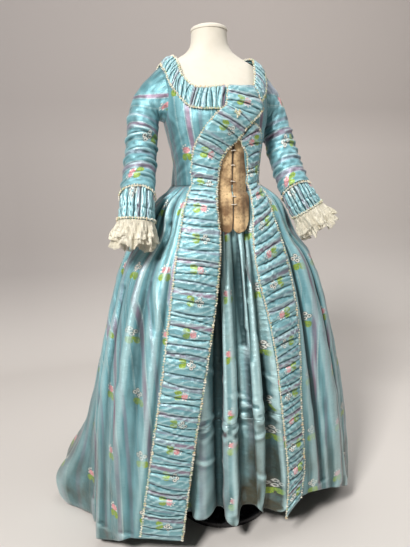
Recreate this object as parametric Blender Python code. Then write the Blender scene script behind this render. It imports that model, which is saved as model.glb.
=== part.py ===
"""A robe a la francaise on its limbless dress form, as a maker would cut it: metres, +Z up.

The wearer faces -Y and the wearer's left is +X. The origin is the middle of the form's foot on the floor.
Each layer is a radius round one upright line, read at an angle (0 at the front, 90 at the wearer's left)
and a height, so that form, petticoat, lining, gown and trimming stay in order from the inside out.
"""

import math

import bpy
import numpy as np

# Driving sizes, in metres
WALL = 0.0018  # silk with its lining
LACE_WALL = 0.0012
SEAM = 0.0004  # what two pieces keep apart at a seam
LIFT = 0.0010  # what one layer keeps from the next
TRIM_LIFT = 0.0019  # what the trimming keeps from the cloth under it, between its stitches
WAIST = 1.052  # where bodice and skirt are sewn together
FORM_CLEARANCE = 0.0033  # from the form to the inside of the lining
LINING_OUT = FORM_CLEARANCE + WALL
BODICE_OUT = LINING_OUT + LIFT + WALL
NECK_TOP = 1.489
BASE_RADIUS = 0.152
BASE_HEIGHT = 0.022
POLE_RADIUS = 0.0125


def table(columns, *rows):
    """A short table as one array for each named column."""
    return dict(zip(columns.split(), np.array(rows, float).T))


CENTRE_LINE = table(
    "height y",
    (0.00, -0.015),
    (0.50, -0.022),
    (0.90, -0.032),
    (1.06, -0.036),
    (1.20, -0.032),
    (1.30, -0.018),
    (1.36, -0.004),
    (1.42, 0.002),
    (1.52, 0.000),
)
FORM = table(
    "height half_width front back square",
    (0.865, 0.128, 0.090, 0.098, 2.2),
    (0.880, 0.140, 0.098, 0.106, 2.2),
    (0.950, 0.139, 0.098, 0.102, 2.3),
    (1.020, 0.123, 0.093, 0.088, 2.3),
    (1.050, 0.1187, 0.0916, 0.0849, 2.3),
    (1.085, 0.117, 0.091, 0.083, 2.3),
    (1.150, 0.125, 0.098, 0.088, 2.35),
    (1.240, 0.142, 0.117, 0.097, 2.4),
    (1.300, 0.151, 0.107, 0.103, 2.5),
    (1.340, 0.154, 0.093, 0.101, 2.6),
    (1.370, 0.150, 0.079, 0.089, 2.6),
    (1.390, 0.135, 0.069, 0.077, 2.5),
    (1.410, 0.103, 0.061, 0.066, 2.3),
    (1.430, 0.072, 0.055, 0.058, 2.1),
    (1.450, 0.057, 0.053, 0.054, 2.0),
    (1.470, 0.053, 0.052, 0.052, 2.0),
    (1.490, 0.052, 0.052, 0.052, 2.0),
)
PETTICOAT = table(
    "height half_width front back square wave",
    (0.050, 0.368, 0.206, 0.390, 2.7, 0.024),
    (0.260, 0.355, 0.198, 0.350, 2.7, 0.022),
    (0.470, 0.330, 0.184, 0.305, 2.6, 0.019),
    (0.670, 0.292, 0.166, 0.250, 2.5, 0.015),
    (0.860, 0.232, 0.138, 0.180, 2.4, 0.009),
    (0.950, 0.180, 0.120, 0.130, 2.3, 0.005),
    (1.020, 0.142, 0.1025, 0.1000, 2.3, 0.002),
    (1.033, 0.1240, 0.0957, 0.0892, 2.3, 0.0006),
)
GOWN = table(
    "height half_width front back square",
    (0.000, 0.418, 0.246, 0.520, 2.7),
    (0.030, 0.422, 0.248, 0.550, 2.7),
    (0.080, 0.421, 0.248, 0.560, 2.7),
    (0.150, 0.415, 0.246, 0.535, 2.7),
    (0.260, 0.405, 0.242, 0.495, 2.7),
    (0.360, 0.394, 0.236, 0.465, 2.7),
    (0.470, 0.378, 0.228, 0.425, 2.65),
    (0.570, 0.360, 0.220, 0.385, 2.6),
    (0.670, 0.338, 0.209, 0.345, 2.6),
    (0.770, 0.312, 0.195, 0.305, 2.5),
    (0.860, 0.276, 0.178, 0.260, 2.5),
    (0.950, 0.226, 0.153, 0.198, 2.4),
    (1.015, 0.178, 0.124, 0.138, 2.35),
    (1.037, 0.150, 0.110, 0.110, 2.3),
)


def smooth(x, y, at):
    """A cubic through the points that never overshoots them, held level past both ends."""
    step = np.diff(x)
    slope = np.diff(y) / step
    product = slope[:-1] * slope[1:]
    total = np.where(product > 0, slope[:-1] + slope[1:], 1.0)
    inner = np.where(product > 0, 2 * product / total, 0.0)
    tangent = np.concatenate([slope[:1], inner, slope[-1:]])
    at = np.clip(at, x[0], x[-1])
    i = np.clip(np.searchsorted(x, at, side="right") - 1, 0, len(step) - 1)
    t = (at - x[i]) / step[i]
    rise = (3 - 2 * t) * t * t
    bend_in = t * (1 - t) ** 2 * step[i] * tangent[i]
    bend_out = t * t * (t - 1) * step[i] * tangent[i + 1]
    return y[i] + rise * (y[i + 1] - y[i]) + bend_in + bend_out


def read(tab, column, at, key="height"):
    return smooth(tab[key], tab[column], np.asarray(at, float))


def ease(t):
    """0 before 0, 1 after 1, and an even S between them."""
    t = np.clip(t, 0, 1)
    return t * t * (3 - 2 * t)


# The gown's skirt starts on the bodice: its top row is the form's own section with the layers on it
for column in ("half_width", "front", "back"):
    GOWN[column] = np.append(GOWN[column], read(FORM, column, WAIST) + BODICE_OUT)
GOWN["square"] = np.append(GOWN["square"], read(FORM, "square", WAIST))
GOWN["height"] = np.append(GOWN["height"], WAIST)


def upright(tab, swell=None):
    """The surface of a table's sections, |x/w|^p + |y/d|^p = 1, with swell added to the radius."""

    def shape(degrees, height):
        turn = np.radians(degrees)
        depth = np.where(np.cos(turn) > 0, read(tab, "front", height), read(tab, "back", height))
        square = read(tab, "square", height)
        across = np.abs(np.sin(turn)) / read(tab, "half_width", height)
        along = np.abs(np.cos(turn)) / depth
        radius = (across**square + along**square) ** (-1 / square)
        if swell:
            radius = radius + swell(degrees, height)
        x = radius * np.sin(turn)
        y = read(CENTRE_LINE, "y", height) - radius * np.cos(turn)
        return np.stack(np.broadcast_arrays(x, y, height), -1)

    return shape


def outward(shape, u, v, du=0.25, dv=0.001):
    """The unit normals of a surface, from the differences on both sides of each point."""
    across = shape(u + du, v) - shape(u - du, v)
    up = shape(u, v + dv) - shape(u, v - dv)
    normal = np.cross(across, up)
    return normal / np.linalg.norm(normal, axis=-1, keepdims=True)


def lifted(shape, lift):
    """The same surface moved out square to itself."""
    return lambda u, v: shape(u, v) + lift * outward(shape, u, v)


# Where the trimming lies: a row for each pleat line, from the hem to the bust. The edge by the opening
# is the inner one. Angles are as the wearer's left counts them, so the right robing ends past the middle.
ROBING_RIGHT = table(
    "inner_angle inner_height outer_angle outer_height",
    (-41.0, 0.080, -57.5, 0.095),
    (-37.0, 0.253, -54.0, 0.282),
    (-32.0, 0.435, -51.0, 0.464),
    (-26.0, 0.611, -48.7, 0.639),
    (-20.0, 0.780, -47.8, 0.804),
    (-17.0, 0.905, -48.3, 0.920),
    (-19.5, 0.998, -47.0, 1.006),
    (-18.5, 1.062, -47.5, 1.075),
    (-8.5, 1.119, -37.0, 1.139),
    (4.0, 1.156, -23.0, 1.177),
    (17.5, 1.180, -9.7, 1.205),
    (25.0, 1.205, 2.5, 1.230),
    (30.5, 1.230, 8.5, 1.241),
)
ROBING_LEFT = table(
    "inner_angle inner_height outer_angle outer_height",
    (23.5, 0.080, 33.0, 0.132),
    (25.7, 0.213, 36.0, 0.242),
    (24.2, 0.386, 36.4, 0.408),
    (22.7, 0.557, 38.9, 0.579),
    (18.6, 0.704, 40.5, 0.729),
    (14.8, 0.791, 40.2, 0.820),
    (13.7, 0.859, 40.2, 0.893),
    (15.3, 0.913, 41.0, 0.955),
    (24.4, 1.007, 47.5, 1.028),
    (33.5, 1.080, 55.0, 1.093),
    (27.5, 1.140, 50.0, 1.152),
    (21.5, 1.172, 44.5, 1.188),
    (27.3, 1.204, 43.0, 1.222),
    (33.5, 1.232, 47.7, 1.262),
)
# The gathered band round the neck, by its two edges, from the middle of the front over the shoulder
RUCHE_RIGHT = table(
    "neck_angle neck_height low_angle low_height",
    (16.8, 1.312, 9.5, 1.247),
    (-5.0, 1.310, -10.0, 1.250),
    (-23.6, 1.306, -27.3, 1.251),
    (-38.0, 1.307, -42.3, 1.256),
    (-47.5, 1.322, -51.0, 1.274),
    (-54.6, 1.344, -58.0, 1.298),
    (-60.0, 1.370, -65.0, 1.325),
    (-68.0, 1.392, -72.5, 1.363),
    (-88.0, 1.406, -89.0, 1.3875),
    (-108.0, 1.410, -105.0, 1.379),
    (-124.0, 1.411, -122.0, 1.378),
)
RUCHE_LEFT = table(
    "neck_angle neck_height low_angle low_height",
    (17.4, 1.312, 10.1, 1.247),
    (31.8, 1.306, 30.0, 1.243),
    (41.4, 1.316, 42.0, 1.262),
    (48.0, 1.336, 54.0, 1.290),
    (55.5, 1.364, 64.0, 1.325),
    (66.0, 1.391, 72.5, 1.363),
    (88.0, 1.406, 89.0, 1.3875),
    (108.0, 1.410, 105.0, 1.379),
    (124.0, 1.411, 122.0, 1.378),
)
# The armhole's edge on the body, from under the arm up the front, over the shoulder and down the back
ARMHOLE_MIDDLE = (91.5, 1.308)
ARMHOLE_REACH = (22.0, 0.070)
SIDE_SEAM = 91.5
METRES_A_DEGREE = 0.0026  # round the body, to measure along a line of angles and heights
STRAP_FRONT = 1.318  # where the shoulder strap is sewn to the front
STRAP_BACK = 114.0  # the angle where it is sewn to the back
BACK_EDGE = 136.0  # where the fitted back ends under the sack
SKIRT_SEAM = 72.0  # between the front and side widths of the skirt
SACK_HALF = 52.0  # the sack's half width, in degrees either side of the middle of the back
SACK_TOP = 1.404
HEM = table(
    "angle right left",
    (0.0, 0.078, 0.078),
    (23.5, 0.078, 0.080),
    (33.0, 0.078, 0.132),
    (41.0, 0.080, 0.136),
    (50.0, 0.088, 0.125),
    (60.0, 0.086, 0.098),
    (72.0, 0.045, 0.060),
    (90.0, 0.015, 0.028),
    (110.0, 0.003, 0.010),
    (130.0, 0.003, 0.003),
    (180.0, 0.003, 0.003),
)
# The train is spread to the wearer's right, and sags on the floor
TRAIN = table(
    "height spread",
    (0.000, 0.098),
    (0.030, 0.116),
    (0.080, 0.124),
    (0.120, 0.112),
    (0.190, 0.072),
    (0.260, 0.042),
    (0.360, 0.022),
    (0.470, 0.010),
    (0.620, 0.000),
)
SACK = table(
    "height stand pleat",
    (0.00, 0.000, 0.026),
    (0.67, 0.000, 0.024),
    (0.77, 0.004, 0.022),
    (0.86, 0.016, 0.021),
    (0.95, 0.045, 0.019),
    (WAIST, 0.096, 0.016),
    (1.150, 0.066, 0.014),
    (1.250, 0.030, 0.012),
    (1.350, 0.006, 0.008),
    (1.410, 0.000, 0.005),
)
SLEEVE = table(
    "along out forward height radius turn",
    (0.00, 0.163, 0.002, 1.312, 0.060, 0.0),
    (0.12, 0.190, 0.004, 1.281, 0.051, 30.0),
    (0.28, 0.205, 0.014, 1.226, 0.0455, 62.0),
    (0.48, 0.214, 0.034, 1.165, 0.0430, 78.0),
    (0.74, 0.226, 0.066, 1.092, 0.0440, 80.0),
    (1.00, 0.238, 0.095, 1.030, 0.0460, 78.0),
)
# How much further out and forward each sleeve ends, and how much lower its head lies
ARM = table("side spread reach drop", (-1, 0.016, 0.028, 0.0), (1, -0.018, 0.016, 0.006))
CUFF = table(
    "side length turn radius flare",
    (-1, 0.070, 8.0, 0.0465, 0.003),
    (1, 0.068, 27.0, 0.0455, 0.003),
)
SLEEVE_ROWS = (  # shares of the length; the elbow's seam lies between the two
    ("upper", (0.0, 0.035, 0.08, 0.14, 0.22, 0.33, 0.4994)),
    ("lower", (0.5006, 0.64, 0.82, 1.0)),
)
SLEEVE_HALVES = (("outer", -90), ("under", 90))  # where each begins, in degrees from the outer side
SLEEVE_COLUMNS = 9  # points round each half
SLEEVE_SEAM = 0.27  # half a gap between the outer and under halves, in degrees
SLEEVE_LIFT = 0.0  # what a sleeve's head keeps from the bodice round the armhole
CUFF_GAP = 0.0018
LACE_GAP = 0.0006
CUFF_FORWARD = 12.0  # how far the cuffs point forward, in degrees
LACE = table(
    "layer inside length flare",
    (0, 0.0000, 0.050, 0.017),
    (1, 0.0022, 0.070, 0.013),
)
PLEATS = {"robing": 32, "ruche": 16, "cuff": 12, "lace": 8, "petticoat": 16}
RELIEF = {"robing": 0.0042, "ruche": 0.0040, "cuff": 0.0030}
PETTICOAT_HEM = 0.062
PETTICOAT_LIFT = table(
    "angle lift",
    (-34.0, 0.055),
    (-25.0, 0.056),
    (-17.0, 0.032),
    (-11.0, 0.018),
    (-6.0, 0.030),
    (0.0, 0.047),
    (5.0, 0.058),
    (11.0, 0.040),
    (18.0, 0.018),
    (25.0, 0.014),
    (31.0, 0.034),
    (44.0, 0.055),
)
PETTICOAT_PIECING = 0.385  # the height of the joining across the petticoat's front width
PETTICOAT_SEAMS = (46.0, 128.0)  # the angles of the front and back seams
WAISTBAND_HEIGHTS = (1.0335, 1.050)
WAISTBAND_LIFT = 0.0029
LINING_LOW = {"right": 0.922, "left": 0.919}
LINING_TOP = 1.19
LINING_MIDDLE = 9.5  # the angle where the two fronts meet, high up; they hang straight down below
LINING_GAP = 1.6
HOOK_HEIGHTS = (1.145, 1.105, 1.060, 1.018, 0.996)
HOOK_HALF = (2.3, 0.0012)  # half a hook bar's width in degrees and its height
HOOK_LIFT = 0.0016
SKIRT_HEIGHTS = (0.0, 0.045, 0.10, 0.19, 0.30, 0.43, 0.57, 0.70, 0.81, 0.90, 0.965, 1.012, 1.036, WAIST)
SKIRT_ROWS = np.array(SKIRT_HEIGHTS)
SACK_HEIGHTS = (1.062, 1.10, 1.16, 1.23, 1.295, 1.34, 1.368, 1.388, SACK_TOP)
NECK_EDGE = 1.4095  # the back of the neck


def silk_folds(degrees, height):
    """The skirt's soft folds low down, its narrow pleats under the waist and the dent under each cuff."""
    a = np.abs((degrees + 180) % 360 - 180)
    window = ease((a - 60) / 10) * ease((130 - a) / 10)
    low = 0.012 * ease((0.95 - height) / 0.5) * np.cos(np.radians((a - 80) * 360 / 16)) * window
    hip = ease((WAIST - height) / 0.03) * ease((height - 0.78) / 0.16)
    pleats = 0.0035 * hip * np.cos(np.radians((a - 80) * 360 / 8)) * window
    dent = 0.026 * np.exp(-(((a - 67) / 15) ** 2) - ((height - 0.915) / 0.055) ** 2)
    signed = (degrees + 180) % 360 - 180
    train = np.where(signed < 0, ease((a - 96) / 14), ease((a - 132) / 44)) * read(TRAIN, "spread", height)
    return low + pleats - dent + train


def petticoat_folds(degrees, height):
    ridges = np.cos(np.radians((degrees + 11.5) * PLEATS["petticoat"]))
    return read(PETTICOAT, "wave", height) * ridges


def sack_folds(degrees, height):
    """How far the sack stands off the back, with two box pleats, each stepped twice to its side."""
    beta = np.abs(degrees % 360 - 180)
    stand = read(SACK, "stand", height) * ease((SACK_HALF - beta) / 14)
    step_in = ease((beta - 1.5) / 3)
    step_out = 0.5 * ease((25 - beta) / 3.5) + 0.5 * ease((38 - beta) / 3.5)
    return stand + read(SACK, "pleat", height) * step_in * step_out


form = upright(FORM)
lining_skirt = upright(PETTICOAT, lambda a, z: read(PETTICOAT, "wave", z) + TRIM_LIFT + WALL)
bodice = lifted(form, BODICE_OUT)
petticoat = upright(PETTICOAT, petticoat_folds)
gown = upright(GOWN, silk_folds)


def join_at_waist(above, below):
    """One surface above the waist and another below it."""

    def shape(u, v):
        return np.where((np.asarray(v) >= WAIST)[..., None], above(u, v), below(u, v))

    return shape


robe = join_at_waist(bodice, gown)


def sack(degrees, height):
    """The sack lies on the bodice's back above the waist and is the skirt's own width below it."""
    base = robe(degrees, height)
    over = (TRIM_LIFT + WALL + SEAM) * ease((height - WAIST + 0.008) / 0.012)
    normal = outward(robe, degrees, height)
    level = normal * np.array([1, 1, 0])
    level = level / np.linalg.norm(level, axis=-1, keepdims=True)
    return base + normal * over[..., None] + level * sack_folds(degrees, height)[..., None]


# Solids


def material(name, colour, roughness, metallic=0.0):
    mat = bpy.data.materials.new(name)
    mat.use_nodes = True
    shader = mat.node_tree.nodes["Principled BSDF"]
    shader.inputs["Base Color"].default_value = (*colour, 1)
    shader.inputs["Roughness"].default_value = roughness
    shader.inputs["Metallic"].default_value = metallic
    return mat


def mesh_object(name, verts, faces, mat):
    """An object from points and faces, turned right side out."""
    verts = np.asarray(verts, float).reshape(-1, 3)
    fans = [(f[0], f[i], f[i + 1]) for f in faces for i in range(1, len(f) - 1)]
    tris = verts[np.array(fans)]
    volume = np.einsum("ij,ij->", tris[:, 0], np.cross(tris[:, 1], tris[:, 2]))
    if volume < 0:
        faces = [f[::-1] for f in faces]
    mesh = bpy.data.meshes.new(name)
    mesh.from_pydata(verts.tolist(), [], [tuple(int(i) for i in f) for f in faces])
    mesh.materials.append(mat)
    mesh.shade_smooth()
    mesh.set_sharp_from_angle(angle=math.radians(50))
    obj = bpy.data.objects.new(name, mesh)
    bpy.context.scene.collection.objects.link(obj)
    return obj


def wall_between(name, outer, inner, mat, closed=False):
    """A closed wall between two grids of points; a closed one joins its last column to its first."""
    columns, rows = outer.shape[:2]
    index = np.arange(columns * rows).reshape(columns, rows)
    if closed:
        index = np.vstack([index, index[:1]])
    shift = columns * rows
    a, b = index[:-1, :-1].ravel(), index[1:, :-1].ravel()
    c, d = index[1:, 1:].ravel(), index[:-1, 1:].ravel()
    outside = np.concatenate([np.stack([a, b, c], 1), np.stack([a, c, d], 1)])
    rims = [(index[1:, 0], index[:-1, 0]), (index[:-1, -1], index[1:, -1])]
    if not closed:
        rims += [(index[0, :-1], index[0, 1:]), (index[-1, 1:], index[-1, :-1])]
    edge = [np.stack([i, j, j + shift], 1) for i, j in rims] + [
        np.stack([i, j + shift, i + shift], 1) for i, j in rims
    ]
    faces = np.concatenate([outside, outside[:, ::-1] + shift, *edge])
    verts = np.concatenate([outer.reshape(-1, 3), inner.reshape(-1, 3)])
    return mesh_object(name, verts, faces.tolist(), mat)


def wall(name, shape, u, v, mat, thickness=WALL, lift=0.0, relief=0.0, closed=False, dv=0.001):
    """A wall on a surface: plain inside, at lift less thickness, with any relief on its outside."""
    normal = outward(shape, u, v, dv=dv)
    points = shape(u, v)
    inner = points + normal * (lift - thickness)
    outer = points + normal * (np.zeros(u.shape) + lift + relief)[..., None]
    return wall_between(name, outer, inner, mat, closed)


def rings(name, loops, mat, segments):
    """A turned or lofted solid: loops of points from bottom to top, closed by flat caps."""
    count = len(loops)
    verts = np.concatenate(loops)
    faces = [tuple(range(segments))[::-1], tuple(range((count - 1) * segments, count * segments))]
    for k in range(count - 1):
        for i in range(segments):
            j = (i + 1) % segments
            low, high = k * segments, (k + 1) * segments
            faces.append((low + i, low + j, high + j, high + i))
    return mesh_object(name, verts, faces, mat)


def turned(name, profile, mat, segments):
    """A profile of (radius, height) turned round the upright axis."""
    turn = np.linspace(0, 2 * np.pi, segments, endpoint=False)
    loops = [np.stack([r * np.cos(turn), r * np.sin(turn), np.full(segments, z)], 1) for r, z in profile]
    return rings(name, loops, mat, segments)


def along(points, count):
    """Points at even steps along a line given by its corners."""
    points = np.asarray(points, float)
    length = np.hypot(*(np.diff(points, axis=0) * (METRES_A_DEGREE, 1)).T)
    at = np.concatenate([[0], np.cumsum(length)])
    even = np.linspace(0, at[-1], count) if np.isscalar(count) else np.asarray(count) * at[-1]
    return np.stack([np.interp(even, at, points[:, k]) for k in (0, 1)], 1)


def coons(bottom, right, top, left, columns, rows):
    """A patch of (angle, height) between four edges, left to right and bottom to top."""
    b, t = along(bottom, columns)[:, None], along(top, columns)[:, None]
    l, r = along(left, rows)[None], along(right, rows)[None]
    u = np.linspace(0, 1, columns)[:, None, None]
    v = np.linspace(0, 1, rows)[None, :, None]
    corners = (1 - u) * ((1 - v) * l[:, :1] + v * l[:, -1:]) + u * ((1 - v) * r[:, :1] + v * r[:, -1:])
    grid = (1 - v) * b + v * t + (1 - u) * l + u * r - corners
    return grid[..., 0], grid[..., 1]


def stations(tab, names, count):
    """The angles and heights of a band's two edges, read at even steps along the band's middle."""
    step = np.arange(len(tab[names[0]]), dtype=float)
    turn = np.diff(tab[names[0]] + tab[names[2]]) / 2 * METRES_A_DEGREE
    rise = np.diff(tab[names[1]] + tab[names[3]]) / 2
    length = np.concatenate([[0], np.cumsum(np.hypot(turn, rise))])
    at = np.interp(np.linspace(0, length[-1], count), length, step)
    return [smooth(step, tab[name], at) for name in names]


def across(first, last, steps):
    """Columns from one edge to the other, as a grid."""
    return first[None, :] + (last - first)[None, :] * np.asarray(steps)[:, None]


def seam_degrees(shape, edge, rows):
    """Half a seam's gap at an edge, as degrees of turn."""
    radius = np.hypot(*np.moveaxis(shape(edge, rows)[..., :2], -1, 0))
    return np.degrees(SEAM / 2 / radius)


# Form and stand


def build_stand(cover, black):
    turn = np.linspace(-180, 180, 26, endpoint=False)
    heights = FORM["height"][:-1]
    loops = [form(turn, np.full(turn.shape, z)) for z in (*heights, NECK_TOP)]
    rings("form_torso", loops, cover, len(turn))
    cap = [(0.0535, SEAM), (0.0535, 0.006), (0.050, 0.0105), (0.030, 0.0195)]
    turned("form_neck_cap", [(r, NECK_TOP + z) for r, z in cap], cover, 26)
    foot = [(BASE_RADIUS - 0.003, 0.0), (BASE_RADIUS, 0.004), (BASE_RADIUS, 0.014)]
    foot += [(BASE_RADIUS - 0.008, 0.0205), (0.050, BASE_HEIGHT + 0.004)]
    turned("form_base", foot, black, 32)
    turned("form_pole", [(POLE_RADIUS, BASE_HEIGHT + 0.0043), (POLE_RADIUS, 0.8647)], black, 12)


# Petticoat and lining


def build_petticoat(silk):
    front, back = PETTICOAT_SEAMS
    lower = [PETTICOAT_HEM, 0.16, 0.27, PETTICOAT_PIECING]
    upper = [PETTICOAT_PIECING + SEAM, 0.50, 0.62, 0.74, 0.85, 0.93, 0.985, 1.0331]
    pieces = [
        ("petticoat_front_upper", -front, front, 25, upper),
        ("petticoat_front_lower", -front, front, 25, lower),
        ("petticoat_side_right", -back, -front, 11, lower[:-1] + upper),
        ("petticoat_side_left", front, back, 11, lower[:-1] + upper),
        ("petticoat_back", back, 360 - back, 11, lower[:-1] + upper),
    ]
    for name, first, last, columns, levels in pieces:
        height = np.array(levels)
        start = first + seam_degrees(petticoat, np.full(height.shape, first), height)
        end = last - seam_degrees(petticoat, np.full(height.shape, last), height)
        a = across(start, end, np.linspace(0, 1, columns))
        lift = read(PETTICOAT_LIFT, "lift", a, "angle") * ease((0.24 - height) / 0.17)
        wall(name, petticoat, a, height + lift, silk)
    turn = np.linspace(-180, 180, 26, endpoint=False)
    a, z = np.meshgrid(turn, WAISTBAND_HEIGHTS, indexing="ij")
    wall("petticoat_waistband", form, a, z, silk, lift=WAISTBAND_LIFT, closed=True)


def build_lining(linen, metal):
    """The two linen fronts that hook together under the open gown, and hang over the petticoat."""

    def centre(z):
        return LINING_MIDDLE * (1 - ease((1.1 - z) / 0.2))

    def shape(a, z):
        upper = form(a, z) + LINING_OUT * outward(form, a, z)
        blend = ease((np.asarray(z) - WAIST + 0.036) / 0.036)[..., None]
        return upper * blend + lining_skirt(a, z) * (1 - blend)

    for side, name in ((-1, "right"), (1, "left")):
        height = np.array([LINING_LOW[name], 0.95, 0.99, 1.02, 1.04, 1.055, 1.08, 1.12, 1.155, LINING_TOP])
        edge = centre(height) + side * LINING_GAP / 2
        reach = np.interp(height, [0.917, 0.95, 1.06, 1.19], [14.5, 20.0, 26.0, 20.0])
        far = edge + side * reach
        first, last = (far, edge) if side < 0 else (edge, far)
        a = across(first, last, np.linspace(0, 1, 5))
        wall(f"lining_front_{name}", shape, a, np.broadcast_to(height, a.shape), linen)
    wide, tall = HOOK_HALF
    for k, z in enumerate(HOOK_HEIGHTS):
        a, h = np.meshgrid(centre(z) + np.array([-wide, 0, wide]), [z - tall, z + tall], indexing="ij")
        wall(f"hook_{k + 1}", shape, a, h, metal, thickness=WALL / 2, lift=HOOK_LIFT)


# Gown


def front_edge(side, height):
    """The angle of the gown's front edge: the inner edge of the robing that is sewn along it."""
    tab = ROBING_RIGHT if side < 0 else ROBING_LEFT
    return smooth(tab["inner_height"], tab["inner_angle"], height)


def build_bodice(silk):
    """Fronts, shoulder straps and backs, each a patch between its own seams."""
    low, high = WAIST + SEAM, STRAP_FRONT - SEAM
    for side, name in ((-1, "right"), (1, "left")):
        tab, ruche = (ROBING_RIGHT, RUCHE_RIGHT) if side < 0 else (ROBING_LEFT, RUCHE_LEFT)
        above = tab["inner_height"] > WAIST + 0.004
        edge = [(float(front_edge(side, low)), low)]
        edge += list(zip(tab["inner_angle"][above], tab["inner_height"][above]))
        neck = np.stack([ruche["neck_angle"], ruche["neck_height"] - 0.001], 1)
        neck = neck[neck[:, 1] < high - 0.004]
        corner_angle = edge[-1][0] + side * 0.5
        level = np.interp(corner_angle * side, *(neck * (side, 1))[np.argsort(neck[:, 0] * side)].T)
        start = (corner_angle, float(level))
        inner = [tuple(p) for p in neck if abs(p[0]) < 44 and (p[0] - edge[-1][0]) * side > 0]
        armhole = [(SIDE_SEAM, low), (SIDE_SEAM, 1.236), (82.0, 1.249), (73.5, 1.280), (69.0, high)]
        armhole = [(side * a, z) for a, z in armhole]
        top = [start, *inner, (side * 46.0, high), armhole[-1]]
        bottom = [(edge[0][0], low), (side * SIDE_SEAM, low)]
        front = [*edge, start]
        if side > 0:
            a, z = coons(bottom, armhole, top, front, 10, 11)
        else:
            a, z = coons(bottom[::-1], front, top[::-1], armhole, 13, 11)
        wall(f"bodice_front_{name}", bodice, a, z, silk)

        steps = np.linspace(0, 1, 12)
        neck_line = [(46.0, STRAP_FRONT), (54.0, 1.3425), (60.0, 1.367), (68.0, 1.390), (88.0, 1.405)]
        neck_line += [(117.0, NECK_EDGE)]
        arm_line = [(69.0, STRAP_FRONT), (70.5, 1.341), (78.0, 1.367), (91.5, 1.379), (105.0, 1.367)]
        arm_line += [(112.5, 1.341), (STRAP_BACK, STRAP_FRONT)]
        n, m = along(neck_line, steps), along(arm_line, steps)
        share = np.linspace(0, 1, 4)[:, None]
        a = n[None, :, 0] * (1 - share) + m[None, :, 0] * share
        z = n[None, :, 1] * (1 - share) + m[None, :, 1] * share
        wall(f"shoulder_strap_{name}", bodice, side * a, z, silk)

        under, strap = SIDE_SEAM + 0.2, STRAP_BACK + 2.4
        low_edge = [(under, low), (BACK_EDGE, low)]
        arm = [(under, low), (under, 1.236), (101.0, 1.249), (109.5, 1.280), (strap, high)]
        upper = [(strap, high), (strap + 0.6, 1.341), (119.0, NECK_EDGE), (BACK_EDGE, NECK_EDGE)]
        centre = [(BACK_EDGE, low), (BACK_EDGE, NECK_EDGE)]
        a, z = coons(low_edge, centre, upper, arm, 8, 15)
        wall(f"bodice_back_{name}", bodice, side * a, z, silk)


def build_skirt(silk):
    share = SKIRT_ROWS / WAIST
    for side, name in ((-1, "right"), (1, "left")):
        tab = ROBING_RIGHT if side < 0 else ROBING_LEFT
        top = WAIST - SEAM
        columns = [0.0, 0.5, 1.0, 1.3, 1.55, 1.78, 2.0]
        hem = read(HEM, name, 40.0, "angle")
        z0 = hem + (top - hem) * share
        inner = side * front_edge(side, z0)
        outer = side * smooth(tab["outer_height"], tab["outer_angle"], z0)
        seam = SKIRT_SEAM - seam_degrees(gown, np.full(z0.shape, SKIRT_SEAM), z0)
        a = np.stack([inner + (outer - inner) * min(c, 1) + (seam - outer) * max(c - 1, 0) for c in columns])
        low = read(HEM, name, a[:, :1], "angle")
        z = low + (top - low) * share[None]
        wall(f"skirt_front_{name}", gown, side * a, z, silk)

        a = np.linspace(SKIRT_SEAM, 180 - SACK_HALF, 15)[:, None] + np.zeros((1, len(share)))
        low = read(HEM, name, a[:, :1], "angle")
        z = low + (top - low) * share[None]
        a[0] += seam_degrees(gown, a[0], z[0])
        a[-1] -= seam_degrees(gown, a[-1], z[-1])
        wall(f"skirt_side_{name}", gown, side * a, z, silk)


def build_sack(silk):
    half = [0.0, 1.5, 4.5, 13.0, 21.0, 25.5, 34.0, 38.5, 45.0, SACK_HALF]
    beta = np.array([-b for b in half[:0:-1]] + half)
    hem = HEM["right"][-1]
    below = hem + (WAIST - SEAM - hem) * SKIRT_ROWS / WAIST
    rows = np.concatenate([below, SACK_HEIGHTS])
    a, z = np.meshgrid(180 + beta, rows, indexing="ij")
    a = a.copy()
    a[0] += seam_degrees(gown, a[0], z[0])
    a[-1] -= seam_degrees(gown, a[-1], z[-1])
    wall("sack_back", sack, a, z, silk)


def build_robings(silk):
    count = 2 * PLEATS["robing"] + 1
    names = ("inner_angle", "inner_height", "outer_angle", "outer_height")
    steps = [0.0, 0.5, 1.0]
    for tab, name in ((ROBING_RIGHT, "right"), (ROBING_LEFT, "left")):
        inner_a, inner_z, outer_a, outer_z = stations(tab, names, count)
        a, z = across(inner_a, outer_a, steps), across(inner_z, outer_z, steps)
        relief = RELIEF["robing"] * (np.arange(count) % 2)[None, :] * np.array([0.6, 1, 0.6])[:, None]
        if name == "right":
            a, z, relief = a[::-1], z[::-1], relief[::-1]
        wall(f"robing_{name}", robe, a, z, silk, lift=TRIM_LIFT + WALL, relief=relief)


def build_ruches(silk):
    count = 2 * PLEATS["ruche"] + 1
    names = ("neck_angle", "neck_height", "low_angle", "low_height")
    steps = [0.0, 0.5, 1.0]
    for tab, name in ((RUCHE_RIGHT, "right"), (RUCHE_LEFT, "left")):
        neck_a, neck_z, low_a, low_z = stations(tab, names, count)
        a, z = across(low_a, neck_a, steps), across(low_z, neck_z, steps)
        relief = RELIEF["ruche"] * (np.arange(count) % 2)[None, :] * np.array([0.5, 1, 0.5])[:, None]
        turn = slice(None, None, -1) if name == "right" else slice(None)
        a, z, relief = a.T[turn], z.T[turn], relief.T[turn]
        wall(f"neck_ruche_{name}", bodice, a, z, silk, lift=TRIM_LIFT + WALL, relief=relief)


# Sleeves


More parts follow.
